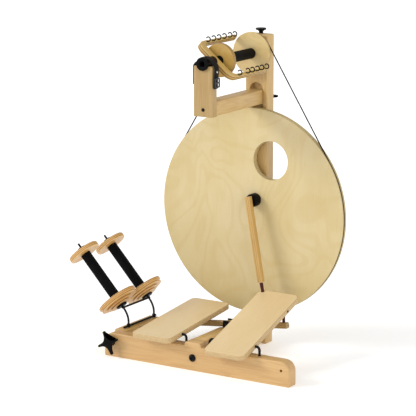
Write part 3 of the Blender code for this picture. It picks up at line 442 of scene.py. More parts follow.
def block(name, low, high, matrix=None):
    """A box between two corners."""
    bm = bmesh.new()
    bmesh.ops.create_cube(bm, size=1.0)
    bmesh.ops.scale(bm, vec=[high[i] - low[i] for i in range(3)], verts=bm.verts)
    bmesh.ops.translate(bm, vec=[(high[i] + low[i]) / 2 for i in range(3)], verts=bm.verts)
    return from_bmesh(name, bm, matrix or Matrix.Identity(4))


def drill(obj, radius, point, direction, length, segments=48, matrix=None):
    """Cut a round hole."""
    bm = bmesh.new()
    bmesh.ops.create_cone(bm, cap_ends=True, segments=segments, radius1=radius, radius2=radius,
                          depth=length)
    bmesh.ops.translate(bm, vec=(0, 0, length / 2), verts=bm.verts)
    tool = from_bmesh("drill", bm, (matrix or Matrix.Identity(4)) @ facing(point, direction))
    return cut(obj, tool)


def lathe(name, profile, matrix, steps=96, closed=False):
    """Turn a profile of (radius, height) about local Z. Points on the axis are merged."""
    bm = bmesh.new()
    rings = []
    for radius, height in profile:
        if radius < 1e-6:
            rings.append([bm.verts.new((0, 0, height))])
            continue
        ring = []
        for step in range(steps):
            angle = 2 * math.pi * step / steps
            ring.append(bm.verts.new((radius * math.cos(angle), radius * math.sin(angle), height)))
        rings.append(ring)
    pairs = list(zip(rings, rings[1:]))
    if closed:
        pairs.append((rings[-1], rings[0]))
    for first, second in pairs:
        for step in range(steps):
            after = (step + 1) % steps
            corners = [first[step % len(first)], first[after % len(first)],
                       second[after % len(second)], second[step % len(second)]]
            unique = list(dict.fromkeys(corners))
            if len(unique) > 2:
                bm.faces.new(unique)
    return smooth(from_bmesh(name, bm, matrix))


def plate(name, outline, thickness, matrix, holes=()):
    """A flat outline in the local XY plane, thickened evenly about that plane."""
    curve = bpy.data.curves.new(name, "CURVE")
    curve.dimensions = "2D"
    curve.fill_mode = "BOTH"
    curve.extrude = thickness / 2 * MM
    for loop in [outline, *holes]:
        spline = curve.splines.new("POLY")
        spline.points.add(len(loop) - 1)
        for point, (x, y) in zip(spline.points, loop):
            point.co = (x * MM, y * MM, 0, 1)
        spline.use_cyclic_u = True
    return from_curve(name, curve, matrix)


def from_curve(name, curve, matrix):
    """A curve as a welded mesh object."""
    draft = make_object("draft", curve, Matrix.Identity(4))
    bpy.context.view_layer.update()
    seen = draft.evaluated_get(bpy.context.evaluated_depsgraph_get())
    mesh = bpy.data.meshes.new_from_object(seen)
    bpy.data.objects.remove(draft, do_unlink=True)
    bm = bmesh.new()
    bm.from_mesh(mesh)
    bmesh.ops.remove_doubles(bm, verts=bm.verts, dist=0.000005)
    bmesh.ops.dissolve_limit(bm, angle_limit=math.radians(0.5), verts=bm.verts, edges=bm.edges)
    bmesh.ops.recalc_face_normals(bm, faces=bm.faces)
    bm.to_mesh(mesh)
    bm.free()
    mesh.name = name
    mesh.materials.clear()
    return make_object(name, mesh, matrix)


def tube(name, points, radius, closed=False, resolution=4, matrix=None):
    """A round rod or wire along points."""
    curve = bpy.data.curves.new(name, "CURVE")
    curve.dimensions = "3D"
    curve.bevel_depth = radius * MM
    curve.bevel_resolution = resolution
    curve.use_fill_caps = not closed
    spline = curve.splines.new("POLY")
    spline.points.add(len(points) - 1)
    for point, place in zip(spline.points, points):
        point.co = (place[0] * MM, place[1] * MM, place[2] * MM, 1)
    spline.use_cyclic_u = closed
    obj = from_curve(name, curve, matrix or Matrix.Identity(4))
    return smooth(obj, 50)


def joined(name, objects):
    """Several objects as one."""
    bm = bmesh.new()
    base = objects[0].matrix_world.copy()
    for obj in objects:
        mesh = obj.data.copy()
        mesh.transform(base.inverted() @ obj.matrix_world)
        bm.from_mesh(mesh)
        bpy.data.meshes.remove(mesh)
    mesh = bpy.data.meshes.new(name)
    bm.to_mesh(mesh)
    bm.free()
    for obj in objects:
        bpy.data.objects.remove(obj, do_unlink=True)
    return make_object(name, mesh, base)


def cover(obj, look):
    """Give an object its one material."""
    obj.data.materials.clear()
    obj.data.materials.append(look)


def describe(obj, look, slot, *nodes):
    """Cover an object, and hide the CAD nodes it stands for. The slot argument is not used."""
    cover(obj, look)
    if nodes:
        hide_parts(*nodes)


def piece(obj, body, look, slot, *nodes):
    """Hang a finished object on a CAD body."""
    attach(obj, body)
    describe(obj, look, slot, *nodes)


def dress(look, *nodes):
    """Give CAD nodes that stay on show their material."""
    for node in nodes:
        cover(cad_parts[node], look)


# ---------------------------------------------------------------- base

def wheel_point(radius):
    """The X and Z of a point on the wheel's crank line."""
    return (radius * math.cos(CRANK_ANGLE), WHEEL_Z + radius * math.sin(CRANK_ANGLE))


def build_front_board():
    """The foot board, with its hump and its storage hole."""
    hump = 5.0
    right = [(258, 0)] + arc((258 - 24, 58 - 24), 24, 0, 90, 16)
    right += arc((22 + hump, 58 + hump), hump, 270, 180, 7) + arc((22 - hump, 68 - hump), hump, 0, 90, 7)
    left = arc((-22 + hump, 68 - hump), hump, 90, 180, 7) + arc((-22 - hump, 58 + hump), hump, 0, -90, 7)
    left += arc((-248 + 24, 58 - 24), 24, 90, 180, 16) + [(-248, 0)]
    board = plate("foot_board", right + left, 32, xz_plane(-285))
    bevel(board, 2.0, 3)
    for x in (237, -227):
        drill(board, 3.4, (x, BOARD_FRONT, 37), Y_AXIS, 36)
    smooth(board)
    look = solid_wood("beech_board", "X", 1, (0.57, 0.37, 0.16), (0.51, 0.31, 0.12), (0.36, 0.18, 0.055))
    piece(board, "base", look, "beech", "front_board")


def build_beam():
    """The beam under the rocker."""
    outline = [(21, 10)] + arc((21 - 5, 68 - 5), 5, 0, 90, 6) + arc((-21 + 5, 68 - 5), 5, 90, 180, 6)
    outline += [(-21, 10)]
    beam = plate("beam", outline, BEAM_BACK - BEAM_FRONT, xz_plane((BEAM_FRONT + BEAM_BACK) / 2))
    cut(beam, block("saddle", (-40, ROCKER_Y - 13, 64), (40, ROCKER_Y + 13, 80)))
    bevel(beam, 1.0, 2, 60)
    smooth(beam)
    piece(beam, "base", beech("beech_beam", "Z", 2), "beech", "centre_beam")


def build_post():
    """The post, with its arched pocket, shaft window and slide channel."""
    post = block("post_body", (-POST_HALF_X, -POST_HALF_Y, 0), (POST_HALF_X, POST_HALF_Y, 756))
    bevel(post, 2.6, 4)
    arch = [(-18.5, 555), (18.5, 555)] + arc((0, 623), 18.5, 0, 180, 28)
    cut(post, plate("pocket", arch, 13.5, xz_plane(-18 + 6.75)))
    cut(post, block("channel", (-13.5, -4.51, 548), (13.5, 19, 745.5)))
    slot = arc((FLYER_X, FLYER_Z + 4), 8, 0, 180, 14) + arc((FLYER_X, FLYER_Z - 4), 8, 180, 360, 14)
    cut(post, plate("window", slot, 18, xz_plane(-10)))
    drill(post, 7, (0, -18, WHEEL_Z), Y_AXIS, 40)
    for side in (-1, 1):
        drill(post, 13.3, (0, side * 7.7, WHEEL_Z), side * Y_AXIS, 12)
    drill(post, PIN_BORE_R, (0, 5, 740), Z_AXIS, 20)
    bevel(post, 0.5, 2, 60)
    smooth(post)
    piece(post, "base", beech("beech_post", "Z", 3, 0.87), "beech", "post")


def build_belt():
    """The endless drive belt, with two straight runs between the wheel and the whorl."""
    gap_z = FLYER_Z - WHEEL_Z
    span = math.hypot(FLYER_X, gap_z)
    lean = math.degrees(math.atan2(gap_z, FLYER_X))
    wrap = math.degrees(math.acos((BELT_WHEEL_R - BELT_WHORL_R) / span))
    around = arc((0, WHEEL_Z), BELT_WHEEL_R, lean + wrap, lean + 360 - wrap, 140)
    around += arc((FLYER_X, FLYER_Z), BELT_WHORL_R, lean - wrap, lean + wrap, 28)
    points = [(x, BELT_Y, z) for x, z in around]
    belt = tube("drive_belt", points, BELT_RADIUS, closed=True, resolution=3)
    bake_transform(belt)
    describe(belt, BELT, "belt", "drive_band")


def build_hinge_rods():
    """The bent rods that the treadles hinge on."""
    bend = 8
    for side, (left, right) in HINGE_ROD_LEGS.items():
        path = [(left, 40)] + arc((left + bend, HINGE_Z - bend), bend, 180, 90, 12)
        path += arc((right - bend, HINGE_Z - bend), bend, 90, 0, 12) + [(right, 40)]
        rod = tube("hinge_wire_" + side, [(x, HINGE_Y, z) for x, z in path], 3.0, resolution=6)
        piece(rod, "base", BLACK_STEEL, "black_steel", "hinge_rod_" + side)


def bolt_head(name, point, direction, body, node):
    """A domed bolt with a hex socket."""
    dome = [(0, 6.0), (3.5, 5.7), (6.5, 4.3), (8.3, 2.2), (9, 0.9), (9, 0.2), (8.8, 0)]
    dome += [(4, 0), (4, -60), (0, -60)]
    place = facing(point, direction)
    bolt = lathe(name, dome, place, 64)
    drill(bolt, 2.9, (0, 0, 3), Z_AXIS, 8, segments=6, matrix=place)
    smooth(bolt)
    piece(bolt, body, BLACK_STEEL, "black_steel", node)


def kate_path(y):
    """One rack wire: up from the bar, bent over, then the spindle."""
    foot = Vector((RACK_X, 40))
    corner = Vector((RACK_X, 88))
    base = Vector(RACK_SPINDLE)
    tip = Vector((-368, 246.5))
    path = [tuple(foot)] + corner_curve(foot.lerp(corner, 0.66), corner, base, 12)
    path.append(tuple(tip - (tip - base).normalized() * 1.2))
    return [(x, y, z) for x, z in path]


def build_kate():
    """The bar, wires and washers of the bobbin rack."""
    bar = block("rack_bar", (-241, BEAM_FRONT, 0), (-209, -118, 58))
    bevel(bar, 1.8, 3)
    smooth(bar)
    piece(bar, "base", beech("beech_rack", "Y", 4), "beech", "kate_bar")
    paths = [kate_path(y) for y in RACK_Y.values()]
    paths.append([(RACK_X, -256.5, 61.2), (RACK_X, -119.5, 61.2)])
    paths.append([(-237, -241.5, 104.9), (-237, -123.5, 104.9)])
    wires = [tube("wire", path, RACK_WIRE_R, resolution=5) for path in paths]
    profile = soften([(0, 66), (4.6, 66), (4.6, 58.4), (0, 58.4)], 0.6, closed=False)
    for y in RACK_Y.values():
        wires.append(lathe("collar", profile, at(RACK_X, y, 0), 32))
    rack = joined("rack_wire", wires)
    smooth(rack, 50)
    piece(rack, "base", BLACK_STEEL, "black_steel", "kate_frame")
    profile = soften([(2.8, 4), (14, 4), (14, 0), (2.8, 0)], 0.9)
    for place, y in RACK_Y.items():
        washer = lathe("rack_washer_" + place, profile, spindle_frame(y, 4.5), 48, closed=True)
        piece(washer, "base", BLACK_PLASTIC, "black_plastic", "kate_washer_" + place)


def spindle_frame(y, distance):
    """A frame on a rack spindle whose local Z runs up it."""
    x, z = RACK_SPINDLE
    aim = Vector((-131.5, 0, 142)).normalized()
    return facing(Vector((x, y, z)) + aim * distance, aim)


# ---------------------------------------------------------------- wheel and drive

def build_wheel():
    """The drive wheel with its belt groove and grip hole, its crank hub, axle and bearings."""
    rim = [(0, WHEEL_T), (WHEEL_R, WHEEL_T), (WHEEL_R, 11.4), (GROOVE_R, 10), (GROOVE_R, 6),
           (WHEEL_R, 4.6), (WHEEL_R, 0), (0, 0)]
    rim = soften(rim, 0.9, 4, closed=False)
    wheel = lathe("wheel_disc", rim, facing((0, WHEEL_FRONT, WHEEL_Z), Y_AXIS), 256)
    x, z = wheel_point(GRIP_HOLE_REACH)
    drill(wheel, GRIP_HOLE_R, (x, WHEEL_FRONT - 2, z), Y_AXIS, 20, 128)
    drill(wheel, 35.3, (0, -25.5, WHEEL_Z), Y_AXIS, 8, 96)
    bevel(wheel, 1.1, 3, 60)
    smooth(wheel)
    look = plywood("birch_wheel", 2, WHEEL_T, 5, (0.57, 0.465, 0.255), (0.53, 0.415, 0.195),
                   (0.45, 0.305, 0.09), ply=1.45, middle=WHEEL_T / 2, swirl=0.17)
    piece(wheel, "wheel", look, "plywood", "drive_wheel")
    cx, cz = wheel_point(CRANK_THROW)
    profile = [(0, -27.5), (4, -27.5), (4, -37.8), (16, -37.8), (16, -55), (14.6, -60.6), (6.5, -60.6),
               (5.8, -59.4), (0, -59.4)]
    boss = lathe("crank_hub", soften(profile, 1.6, 5, closed=False), facing((cx, 0, cz), Y_AXIS), 72)
    piece(boss, "wheel", BLACK_PLASTIC, "black_plastic", "crank_boss")
    dress(BRIGHT_STEEL, "wheel_axle", "bearing_front", "bearing_rear")
    dress(BLACK_STEEL, "axle_collar")


def treadle_frame(side):
    """A frame on the hinge axis whose local Y runs up the treadle."""
    return at(TREADLE_X[side], HINGE_Y, HINGE_Z) @ Matrix.Rotation(TREADLE_TILT[side], 4, "X")


def build_treadles():
    """Both treadles, with their hinge bores and link pockets."""
    half = 54.0
    front = -57.0
    back = 218.0
    r = 14.0
    outline = arc((half - r, back - r), r, 0, 90, 14) + arc((-half + r, back - r), r, 90, 180, 14)
    outline += arc((-half + r, front + r), r, 180, 270, 14)
    outline += arc((half - r, front + r), r, 270, 360, 14)
    pin_head = [(0, 1.2), (1.8, 1.0), (2.6, 0.2), (2.6, -0.4), (2, -0.4), (2, -6), (0, -6)]
    for seed, (side, out) in enumerate({"left": -1, "right": 1}.items()):
        base = treadle_frame(side)
        board = plate("treadle_board_" + side, outline, TREADLE_T, base)
        bevel(board, 2.2, 4)
        drill(board, PIN_BORE_R, (-half - 2, 0, 0), X_AXIS, 2 * half + 2, 32, base)
        reach = (ROCKER_Y - HINGE_Y) / math.cos(TREADLE_TILT[side])
        near, far = LINK_POCKET[side]
        cut(board, block("pocket", (out * LINK_INSET - 5, reach + near, -TREADLE_T),
                         (out * LINK_INSET + 7, reach + far, 2.5), base))
        if side == "right":
            aim = (JOINT_ENTRY - CONROD_FOOT).normalized()
            drill(board, 4.6, JOINT_ENTRY - aim * 12, aim, 20, 32)
        smooth(board)
        look = plywood("birch_treadle_" + side, 2, TREADLE_T, 8 + 3 * seed, (0.67, 0.52, 0.30),
                       (0.64, 0.48, 0.255), (0.46, 0.28, 0.085), spread=1.5, swirl=0.03)
        piece(board, side + "_treadle", look, "plywood", "treadle_" + side)
        head = base @ facing((out * (half + 0.6), reach, 0), (out, 0, 0))
        pin = lathe("link_pin_head_" + side, pin_head, head, 32)
        piece(pin, side + "_treadle", BLACK_STEEL, "black_steel", "link_pin_" + side)


def build_joint():
    """The flexible joint below the connecting rod."""
    run = JOINT_ENTRY - CONROD_FOOT
    aim = run.normalized()
    length = run.length + 5.6
    profile = [(0, length)]
    steps = 14
    for step in range(steps + 1):
        t = step / steps
        bulge = 4.25 - 0.55 * math.sin(math.pi * min(1.0, t * 1.25)) ** 2
        profile.append((bulge, length * (1 - t)))
    profile.append((0, 0))
    place = facing(CONROD_FOOT + aim * 1.4, aim)
    joint = lathe("flexible_joint", soften(profile, 0.5, 2, closed=False), place, 40)
    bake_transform(joint)
    describe(joint, MAROON, "flexible_joint", "conrod_joint")


def build_conrod():
    """The wooden rod with its two lengthwise grooves, and its pin."""
    cx, cz = wheel_point(CRANK_THROW)
    run = Vector((cx, -69, cz)) - CONROD_FOOT
    up = run.normalized()
    across = (Y_AXIS - up * Y_AXIS.dot(up)).normalized()
    side = across.cross(up)
    turn = Matrix((side, across, up)).transposed().to_4x4()
    length = run.length + 12
    half = 6.5
    section = [(half, -half), (half, half), (-half, half), (-half, -half)]
    groove = ((-0.55, 0), (-0.35, 0.9), (0.35, 0.9), (0.55, 0))
    for middle in (-2.3, 2.3):
        section += [(middle + x, depth - half) for x, depth in groove]
    rod = plate("connecting_bar", section, length, at(*CONROD_FOOT) @ turn @ at(0, 0, length / 2))
    bevel(rod, 0.8, 3, 60)
    drill(rod, PIN_BORE_R, (cx, -59, cz), -Y_AXIS, 12)
    smooth(rod)
    look = solid_wood("ash_rod", "Z", 11, (0.56, 0.38, 0.14), (0.48, 0.29, 0.08), (0.31, 0.15, 0.03))
    piece(rod, "conrod", look, "beech", "connecting_rod")
    dress(BRIGHT_STEEL, "crank_pin")


def build_rocker():
    """The rocker bar, its bracket and the flexible links."""
    base = at(0, ROCKER_Y, ROCKER_Z) @ Matrix.Rotation(-ROCKER_TILT, 4, "Y")
    bar = block("rocker_beam", (-153, -7, -7), (163, 7, 7), base)
    bevel(bar, 3.2, 5)
    drill(bar, PIN_BORE_R, (0, ROCKER_Y - 10, ROCKER_Z), Y_AXIS, 20)
    smooth(bar)
    # The rocker's beech is darkened to 0.62 as painted shade, standing in for the shadow the bar lies
    # in.
    piece(bar, "rocker", beech("beech_rocker_painted_shade", "X", 12, 0.62), "beech", "rocker_bar")
    dome = [(0, 1.4), (1.6, 1.2), (2.4, 0.4), (2.4, -3), (0, -3)]
    for side, x, out in (("right", 162.2, 1), ("left", -152.2, -1)):
        stud = lathe("rocker_stud_" + side, dome, base @ facing((x, 0, 0), (out, 0, 0)), 32)
        piece(stud, "rocker", BLACK_STEEL, "black_steel")
    for side in ("left", "right"):
        node = "rocker_link_" + side
        low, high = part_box(node)
        x = (low.x + high.x) / 2 / MM
        tall = (high.z - low.z) / MM
        profile = [(0, tall), (3.65, tall), (3.35, tall * 0.5), (3.65, 0), (0, 0)]
        profile = soften(profile, 0.8, 3, closed=False)
        link = lathe("flexible_link_" + side, profile, at(x, ROCKER_Y, low.z / MM), 40)
        piece(link, side + "_link", MAROON, "flexible_joint", node)
    dress(BLACK_STEEL, "rocker_bracket", "rocker_pivot")


# ---------------------------------------------------------------- head

def build_head():
    """The arm, the front upright, the slide and their fittings."""
    arm = block("arm_bar", (-17.5, -230.2, 590.5), (17.5, -4.8, 624.5))
    bevel(arm, 1.8, 3)
    smooth(arm)
    piece(arm, "head", beech("beech_arm", "Y", 13, 0.86), "beech", "head_arm")
    seat = 14.4
    lip = math.degrees(math.asin((708 - FLYER_Z) / seat))
    outline = [(-27, 590.5), (22.5, 590.5)] + arc((22.5 - 4, 704), 4, 0, 90, 8)
    outline += arc((FLYER_X, FLYER_Z), seat, lip, -180 - lip, 32) + arc((-27 + 4, 704), 4, 90, 180, 8)
    upright = plate("upright_board", outline, 21, xz_plane(-241))
    bevel(upright, 1.2, 3, 50)
    smooth(upright)
    piece(upright, "head", beech("beech_upright", "Y", 14, 0.67), "beech", "front_upright")
    head = [(0, 1.6), (2.2, 1.5), (3.6, 1.1), (4.2, 0.3), (4.2, 0), (3, 0), (3, -20), (0, -20)]
    bolt = lathe("upright_bolt_head", head, facing((FLYER_X, -251.8, 607), -Y_AXIS), 40)
    piece(bolt, "head", BLACK_STEEL, "black_steel", "upright_bolt")
    slider = block("slide_block", (-13, -4, 560), (13, 15.8, 740))
    bevel(slider, 1.2, 3)
    drill(slider, 7.3, (FLYER_X, -6, FLYER_Z), Y_AXIS, 14)
    drill(slider, PIN_BORE_R, (0, 5, 724.5), Z_AXIS, 20)
    smooth(slider)
    piece(slider, "head", beech("beech_slide", "Z", 15), "beech", "tension_slider")
    dress(NYLON, "rear_bush")
    clamp = block("clamp_sheet", (-22, 16.4, 578), (22, 18.9, 622))
    bevel(clamp, 0.8, 3)
    smooth(clamp)
    piece(clamp, "head", BLACK_STEEL, "black_steel", "clamp_plate")


def star_knob(name, centre, aim, spin, body, node):
    """A four-armed moulded knob on a round hub."""
    outline = []
    arm = arc((29.5 - 2.9, 0.5), 2.9, -85, 85, 10)
    arm += [(20.5, 3.4), (14.5, 4.6), (9.6, 7.4), (7.4, 9.6), (4.6, 14.5)]
    for quarter in range(4):
        turn = math.radians(90 * quarter + spin)
        for x, y in arm:
            outline.append((x * math.cos(turn) - y * math.sin(turn),
                            x * math.sin(turn) + y * math.cos(turn)))
    base = facing(centre, aim)
    star = plate("star", soften(outline, 1.2, 3), 8, base @ at(0, 0, 16))
    bevel(star, 2.4, 5, 30)
    profile = soften([(0, 18.4), (7.6, 18.4), (9.2, 14), (10, 0), (0, 0)], 1.0, 4, closed=False)
    hub = lathe("hub", profile, base, 56)
    knob = joined(name, [star, hub])
    smooth(knob, 40)
    piece(knob, body, BLACK_PLASTIC, "black_plastic", node)


def build_knobs():
    """The clamp knobs and the tension knob with its screws."""
    star_knob("head_knob", (0, 19.4, 600), Y_AXIS, -8, "head_clamp", "clamp_knob")
    star_knob("rack_knob", (-227, -301.4, 37), -Y_AXIS, 23, "rack_clamp", "kate_knob")
    profile = [(0, 769), (12.4, 769), (13.3, 767), (12.6, 765), (8.0, 763.4), (5.4, 761), (5.0, 756.6)]
    profile += [(3.3, 756.6), (3.3, 762.3), (0, 762.3)]
    knob = lathe("tension_cap", soften(profile, 0.6, 3, closed=False), at(0, 5, 0), 120)
    for vert in knob.data.vertices:
        on_grip = math.hypot(vert.co.x, vert.co.y) > 8.5 * MM and vert.co.z > 763.4 * MM
        if on_grip:
            wave = 1 - 0.06 * (0.5 - 0.5 * math.cos(5 * math.atan2(vert.co.y, vert.co.x)))
            vert.co.x *= wave
            vert.co.y *= wave
    piece(knob, "tension", BLACK_PLASTIC, "black_plastic", "tension_knob")
    dress(BRIGHT_STEEL, "clamp_screw", "kate_screw", "tension_screw")


def ribbon(points, thickness):
    """The outline of a strip of even thickness along a centre line."""
    left = []
    right = []
    for index, point in enumerate(points):
        before = Vector(points[max(index - 1, 0)])
        after = Vector(points[min(index + 1, len(points) - 1)])
        run = (after - before).normalized()
        normal = Vector((-run.y, run.x)) * thickness / 2
        left.append(tuple(Vector(point) + normal))
        right.append(tuple(Vector(point) - normal))
    return left + right[::-1]


def build_strap():
    """The leather brake strap, its screw and its buckle."""
    left = -29.2
    line = [(left, 664.2 + 4 * step) for step in range(9)]
    climb = [(left, 700), (left + 0.4, 708.5), (left + 4.6, 713.5), (-13.5, 721.6)]
    line += soften(climb, 3, 4, closed=False)
    line += arc((FLYER_X, FLYER_Z), 14.9, 142, 64, 20)
    fall = [(9.0, 724.4), (13.2, 722.6), (20.8, 718.2), (26.4, 711.4), (29.2, 702), (28.8, 690),
            (27.2, 680), (26.6, 670), (26.6, 656.5)]
    line += soften(fall, 4, 4, closed=False)
    strap = plate("brake_band", ribbon(line, 2.3), 15.6, xz_plane(STRAP_Y))
    bevel(strap, 0.5, 2, 50)
    smooth(strap, 40)
    piece(strap, "head", LEATHER, "leather", "brake_strap")
    screw = lathe("strap_stud", [(0, 2.2), (2.4, 1.9), (4.2, 0.4), (4.2, 0), (2, 0), (2, -8), (0, -8)],
                  facing((-30.7, STRAP_Y, 673), -X_AXIS), 40)
    piece(screw, "head", BLACK_STEEL, "black_steel", "strap_screw")
    low = STRAP_Y - 9.8
    high = STRAP_Y + 9.8
    outer = soften([(low, 659.2), (high, 659.2), (high, 681.8), (low, 681.8)], 3, 5)
    near = low + 2.4
    far = high - 2.4
    slots = []
    for z in (662.2, 672.0):
        slot = soften([(near, z), (far, z), (far, z + 6.6), (near, z + 6.6)], 1.2, 4)
        slots.append(slot[::-1])
    buckle = plate("buckle_frame", outer, 2.6, yz_plane(30.6), holes=slots)
    bevel(buckle, 0.7, 3, 50)
    smooth(buckle, 40)
    piece(buckle, "head", BUCKLE, "black_steel", "strap_buckle")
    rivet = lathe("strap_rivet", [(0, 1.0), (1.6, 0.8), (2.3, 0.1), (2.3, -0.6), (0, -0.6)],
                  facing((30.4, STRAP_Y, 695), X_AXIS), 32)
    piece(rivet, "head", BRIGHT_STEEL, "bright_steel")


# ---------------------------------------------------------------- flyer and bobbins

def flyer_frame():
    """A frame on the flyer axis: local X across the arms, local Y to the back."""
    return at(FLYER_X, 0, FLYER_Z) @ Matrix.Rotation(FLYER_TILT, 4, "Y")


def build_flyer():
    """The plywood U, its wire hooks, the orifice tube and the shaft."""
    outer = 60.0
    inner = 51.5
    mid = (outer + inner) / 2
    tip = -40.5 - 3.9
    bend = 15
    outer_bend = 24
    front = -209.5 + outer_bend
    outline = arc((mid, tip), 4.2, 0, 180, 12)
    outline += arc((inner - bend, -190 + bend), bend, 0, -90, 14)
    outline += arc((-inner + bend, -190 + bend), bend, 270, 180, 14)
    outline += arc((-mid, tip), 4.2, 0, 180, 12)
    outline += arc((-outer + outer_bend, front), outer_bend, 180, 270, 18)
    outline += arc((outer - outer_bend, front), outer_bend, 270, 360, 18)
    base = flyer_frame()
    wood = plate("flyer_wood", outline, 13, base)
    bevel(wood, 1.3, 4, 50)
    smooth(wood)
    look = plywood("birch_flyer", 2, 13, 16, (0.58, 0.40, 0.13), (0.50, 0.32, 0.085),
                   (0.30, 0.15, 0.025), ply=2.6, spread=3.0)
    piece(wood, "flyer", look, "plywood", "flyer_frame")
    collar = [(0, 7.3), (1.5, 7.2), (1.9, 6.5), (1.9, 6.2), (0, 6.2)]
    hooks = []
    for side, places in HOOK_ROWS.items():
        x = side * mid
        ring = arc((x, HOOK_RING_R + 7.8), HOOK_RING_R, -62, 194, 26)
        path = [(x, 3.5), (x, 6.0), (x + 0.25, 6.7)] + ring
        for y in places:
            hooks.append(tube("hook", [(a, y, b) for a, b in path], HOOK_WIRE_R, matrix=base))
            hooks.append(lathe("collar", collar, base @ at(x, y, 0), 24))
    wires = joined("flyer_hooks", hooks)
    smooth(wires, 50)
    piece(wires, "flyer", HOOK_WIRE, "black_steel")
    profile = [(0, -209.8), (13.2, -209.8), (13.2, -251.7), (15.5, -251.9), (15.5, -256.8)]
    profile += [(14.7, -257.5), (8.6, -257.5), (7.1, -256.6), (6.5, -254.5), (6.5, -215), (0, -214.8)]
    place = facing((FLYER_X, 0, FLYER_Z), Y_AXIS)
    tube_body = lathe("orifice", soften(profile, 0.5, 3, closed=False), place, 72)
    cut(tube_body, block("exit", (-20, -225.8, -5), (20, -215.8, 5), base))
    smooth(tube_body)
    piece(tube_body, "flyer", BLACK_PLASTIC, "black_plastic", "orifice_tube")
    dress(BRIGHT_STEEL, "flyer_shaft")


GOLD = ((0.73, 0.48, 0.185), (0.62, 0.36, 0.115), (0.40, 0.18, 0.04))
OLD_GOLD = ((0.50, 0.33, 0.095), (0.40, 0.24, 0.05), (0.26, 0.12, 0.02))
PALE = ((0.60, 0.46, 0.21), (0.55, 0.39, 0.16), (0.38, 0.22, 0.06))


def ribbed_sleeve(low, high, matrix):
    """The bobbin's sleeve, with fine ribs along it."""
    ribs = 30
    count = ribs * 6
    bm = bmesh.new()
    rings = []
    for height in (low, high):
        ring = []
        for step in range(count):
            angle = 2 * math.pi * step / count
            wave = 0.5 + 0.5 * math.cos(ribs * angle)
            radius = 11.75 + 0.75 * wave ** 0.6
            ring.append(bm.verts.new((radius * math.cos(angle), radius * math.sin(angle), height)))
        rings.append(ring)
    for step in range(count):
        after = (step + 1) % count
        bm.faces.new((rings[0][step], rings[0][after], rings[1][after], rings[1][step]))
    return from_bmesh("sleeve", bm, matrix)


def build_bobbin(prefix, body, nodes, matrix, seed, whorl_tones, flange_tones):
    """A bobbin: the stepped whorl, the ribbed core and the flange."""
    bore = BOBBIN_BORE_R
    profile = [(bore, 20), (50.5, 20), (50.5, 14.5), (46.2, 12.9), (46.2, 10.1), (48.6, 8.9)]
    profile += [(48.6, 7.9), (34, 7.4), (34, 5.6), (37, 4.7), (37, 3.9), (24, 3.3), (24, 1.5)]
    profile += [(27.5, 0.6), (27.5, 0), (bore, 0)]
    whorl = lathe(prefix + "_whorl_wood", soften(profile, 0.9, 3), matrix, 96, closed=True)
    look = plywood(prefix + "_whorl_ply", 2, 20, seed, *whorl_tones, figure="X", ply=1.9, middle=10.0,
                   spread=2.5)
    piece(whorl, body, look, "bobbin_wood", nodes + "_whorl")
    profile = soften([(10.3, 163.5), (39.5, 163.5), (39.5, 152.5), (10.3, 152.5)], 1.8, 5)
    flange = lathe(prefix + "_flange_wood", profile, matrix, 96, closed=True)
    look = plywood(prefix + "_flange_ply", 2, 11, seed + 1, *flange_tones, figure="X", ply=1.85,
                   middle=158.0, spread=2.5)
    piece(flange, body, look, "bobbin_wood", nodes + "_flange")
    sleeve = ribbed_sleeve(20.3, 152.2, matrix)
    inside = [(bore, 171.4), (10, 171.4), (10, 152.2), (11.8, 152.0), (11.8, 20.5), (bore, 20.3)]
    spindle = lathe("spindle", soften(inside, 0.5, 2), matrix, 48, closed=True)
    core = joined(prefix + "_ribbed_core", [sleeve, spindle])
    smooth(core, 45)
    piece(core, body, BLACK_PLASTIC, "black_plastic", nodes + "_core")


def build_bobbins():
    """The bobbin on the flyer and the two on the rack."""
    build_bobbin("flyer_bobbin", "spun_bobbin", "bobbin", facing((FLYER_X, -18, FLYER_Z), -Y_AXIS), 20,
                 PALE, OLD_GOLD)
    for seed, (place, y) in enumerate(RACK_Y.items()):
        build_bobbin("stored_" + place, "stored_bobbin_" + place, "kate_bobbin_" + place,
                     spindle_frame(y, 9), 24 + 3 * seed, GOLD, GOLD)


# ---------------------------------------------------------------- stage

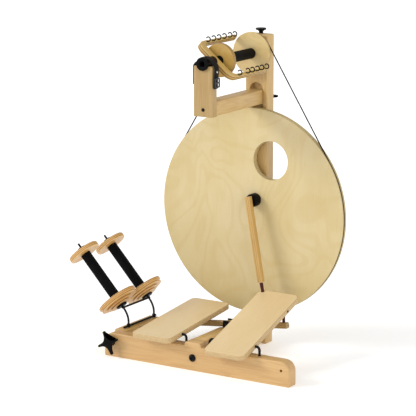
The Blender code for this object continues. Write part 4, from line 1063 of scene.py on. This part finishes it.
def build_stage():
    """A pale floor, soft lights and the camera."""
    floor = bpy.data.meshes.new("floor")
    size = 60.0
    corners = [(-size, -size, 0), (size, -size, 0), (size, size, 0), (-size, size, 0)]
    floor.from_pydata(corners, [], [(0, 1, 2, 3)])
    ground = make_object("floor", floor, Matrix.Identity(4))
    # A little light of its own keeps the floor even and pale behind the object.
    g = Graph("floor_paint")
    shade = g.noise(g.stretched((3, 3, 3)), detail=2)
    color = g.mix(shade, (0.955, 0.955, 0.95), (0.97, 0.97, 0.965))
    ground.data.materials.append(g.finish(color, 0.7, Emission_Color=(1.0, 1.0, 1.0, 1.0),
                                          Emission_Strength=0.22))

    world = bpy.data.worlds.new("studio")
    world.use_nodes = True
    background = world.node_tree.nodes["Background"]
    background.inputs["Color"].default_value = (1.0, 1.0, 1.0, 1.0)
    background.inputs["Strength"].default_value = 0.66
    scene.world = world
    lamps = (("key", (-1.2, -1.1, 0.9), 1.75, 24), ("fill", (0.9, -0.4, 0.4), 1.15, 45))
    for name, place, power, spread in lamps:
        light = bpy.data.lights.new(name, "SUN")
        light.energy = power
        light.angle = math.radians(spread)
        lamp = bpy.data.objects.new(name, light)
        scene.collection.objects.link(lamp)
        lamp.location = place
        lamp.rotation_euler = (-Vector(place)).to_track_quat("-Z", "Y").to_euler()

    camera = bpy.data.cameras.new("camera")
    camera.sensor_width = 36.0
    camera.lens = LENS
    camera.clip_end = 50.0
    camera.shift_x, camera.shift_y = LENS_SHIFT
    eye = bpy.data.objects.new("camera", camera)
    scene.collection.objects.link(eye)
    eye.location = EYE
    level = math.cos(EYE_DROP)
    look = Vector((-math.sin(EYE_TURN) * level, math.cos(EYE_TURN) * level, -math.sin(EYE_DROP)))
    eye.rotation_euler = look.to_track_quat("-Z", "Y").to_euler()
    scene.camera = eye
    scene.view_settings.view_transform = "Standard"


def build():
    """Every piece, in the order of the CAD bodies."""
    build_front_board()
    build_beam()
    build_post()
    build_belt()
    build_hinge_rods()
    bolt_head("board_bolt_head", (0, -301.3, 31), -Y_AXIS, "base", "board_bolt")
    bolt_head("post_bolt_head", (0, 16.3, 39), Y_AXIS, "base", "post_bolt")
    build_kate()
    build_wheel()
    build_treadles()
    build_joint()
    build_conrod()
    build_rocker()
    build_head()
    build_knobs()
    build_strap()
    build_flyer()
    build_bobbins()
    build_stage()


build()
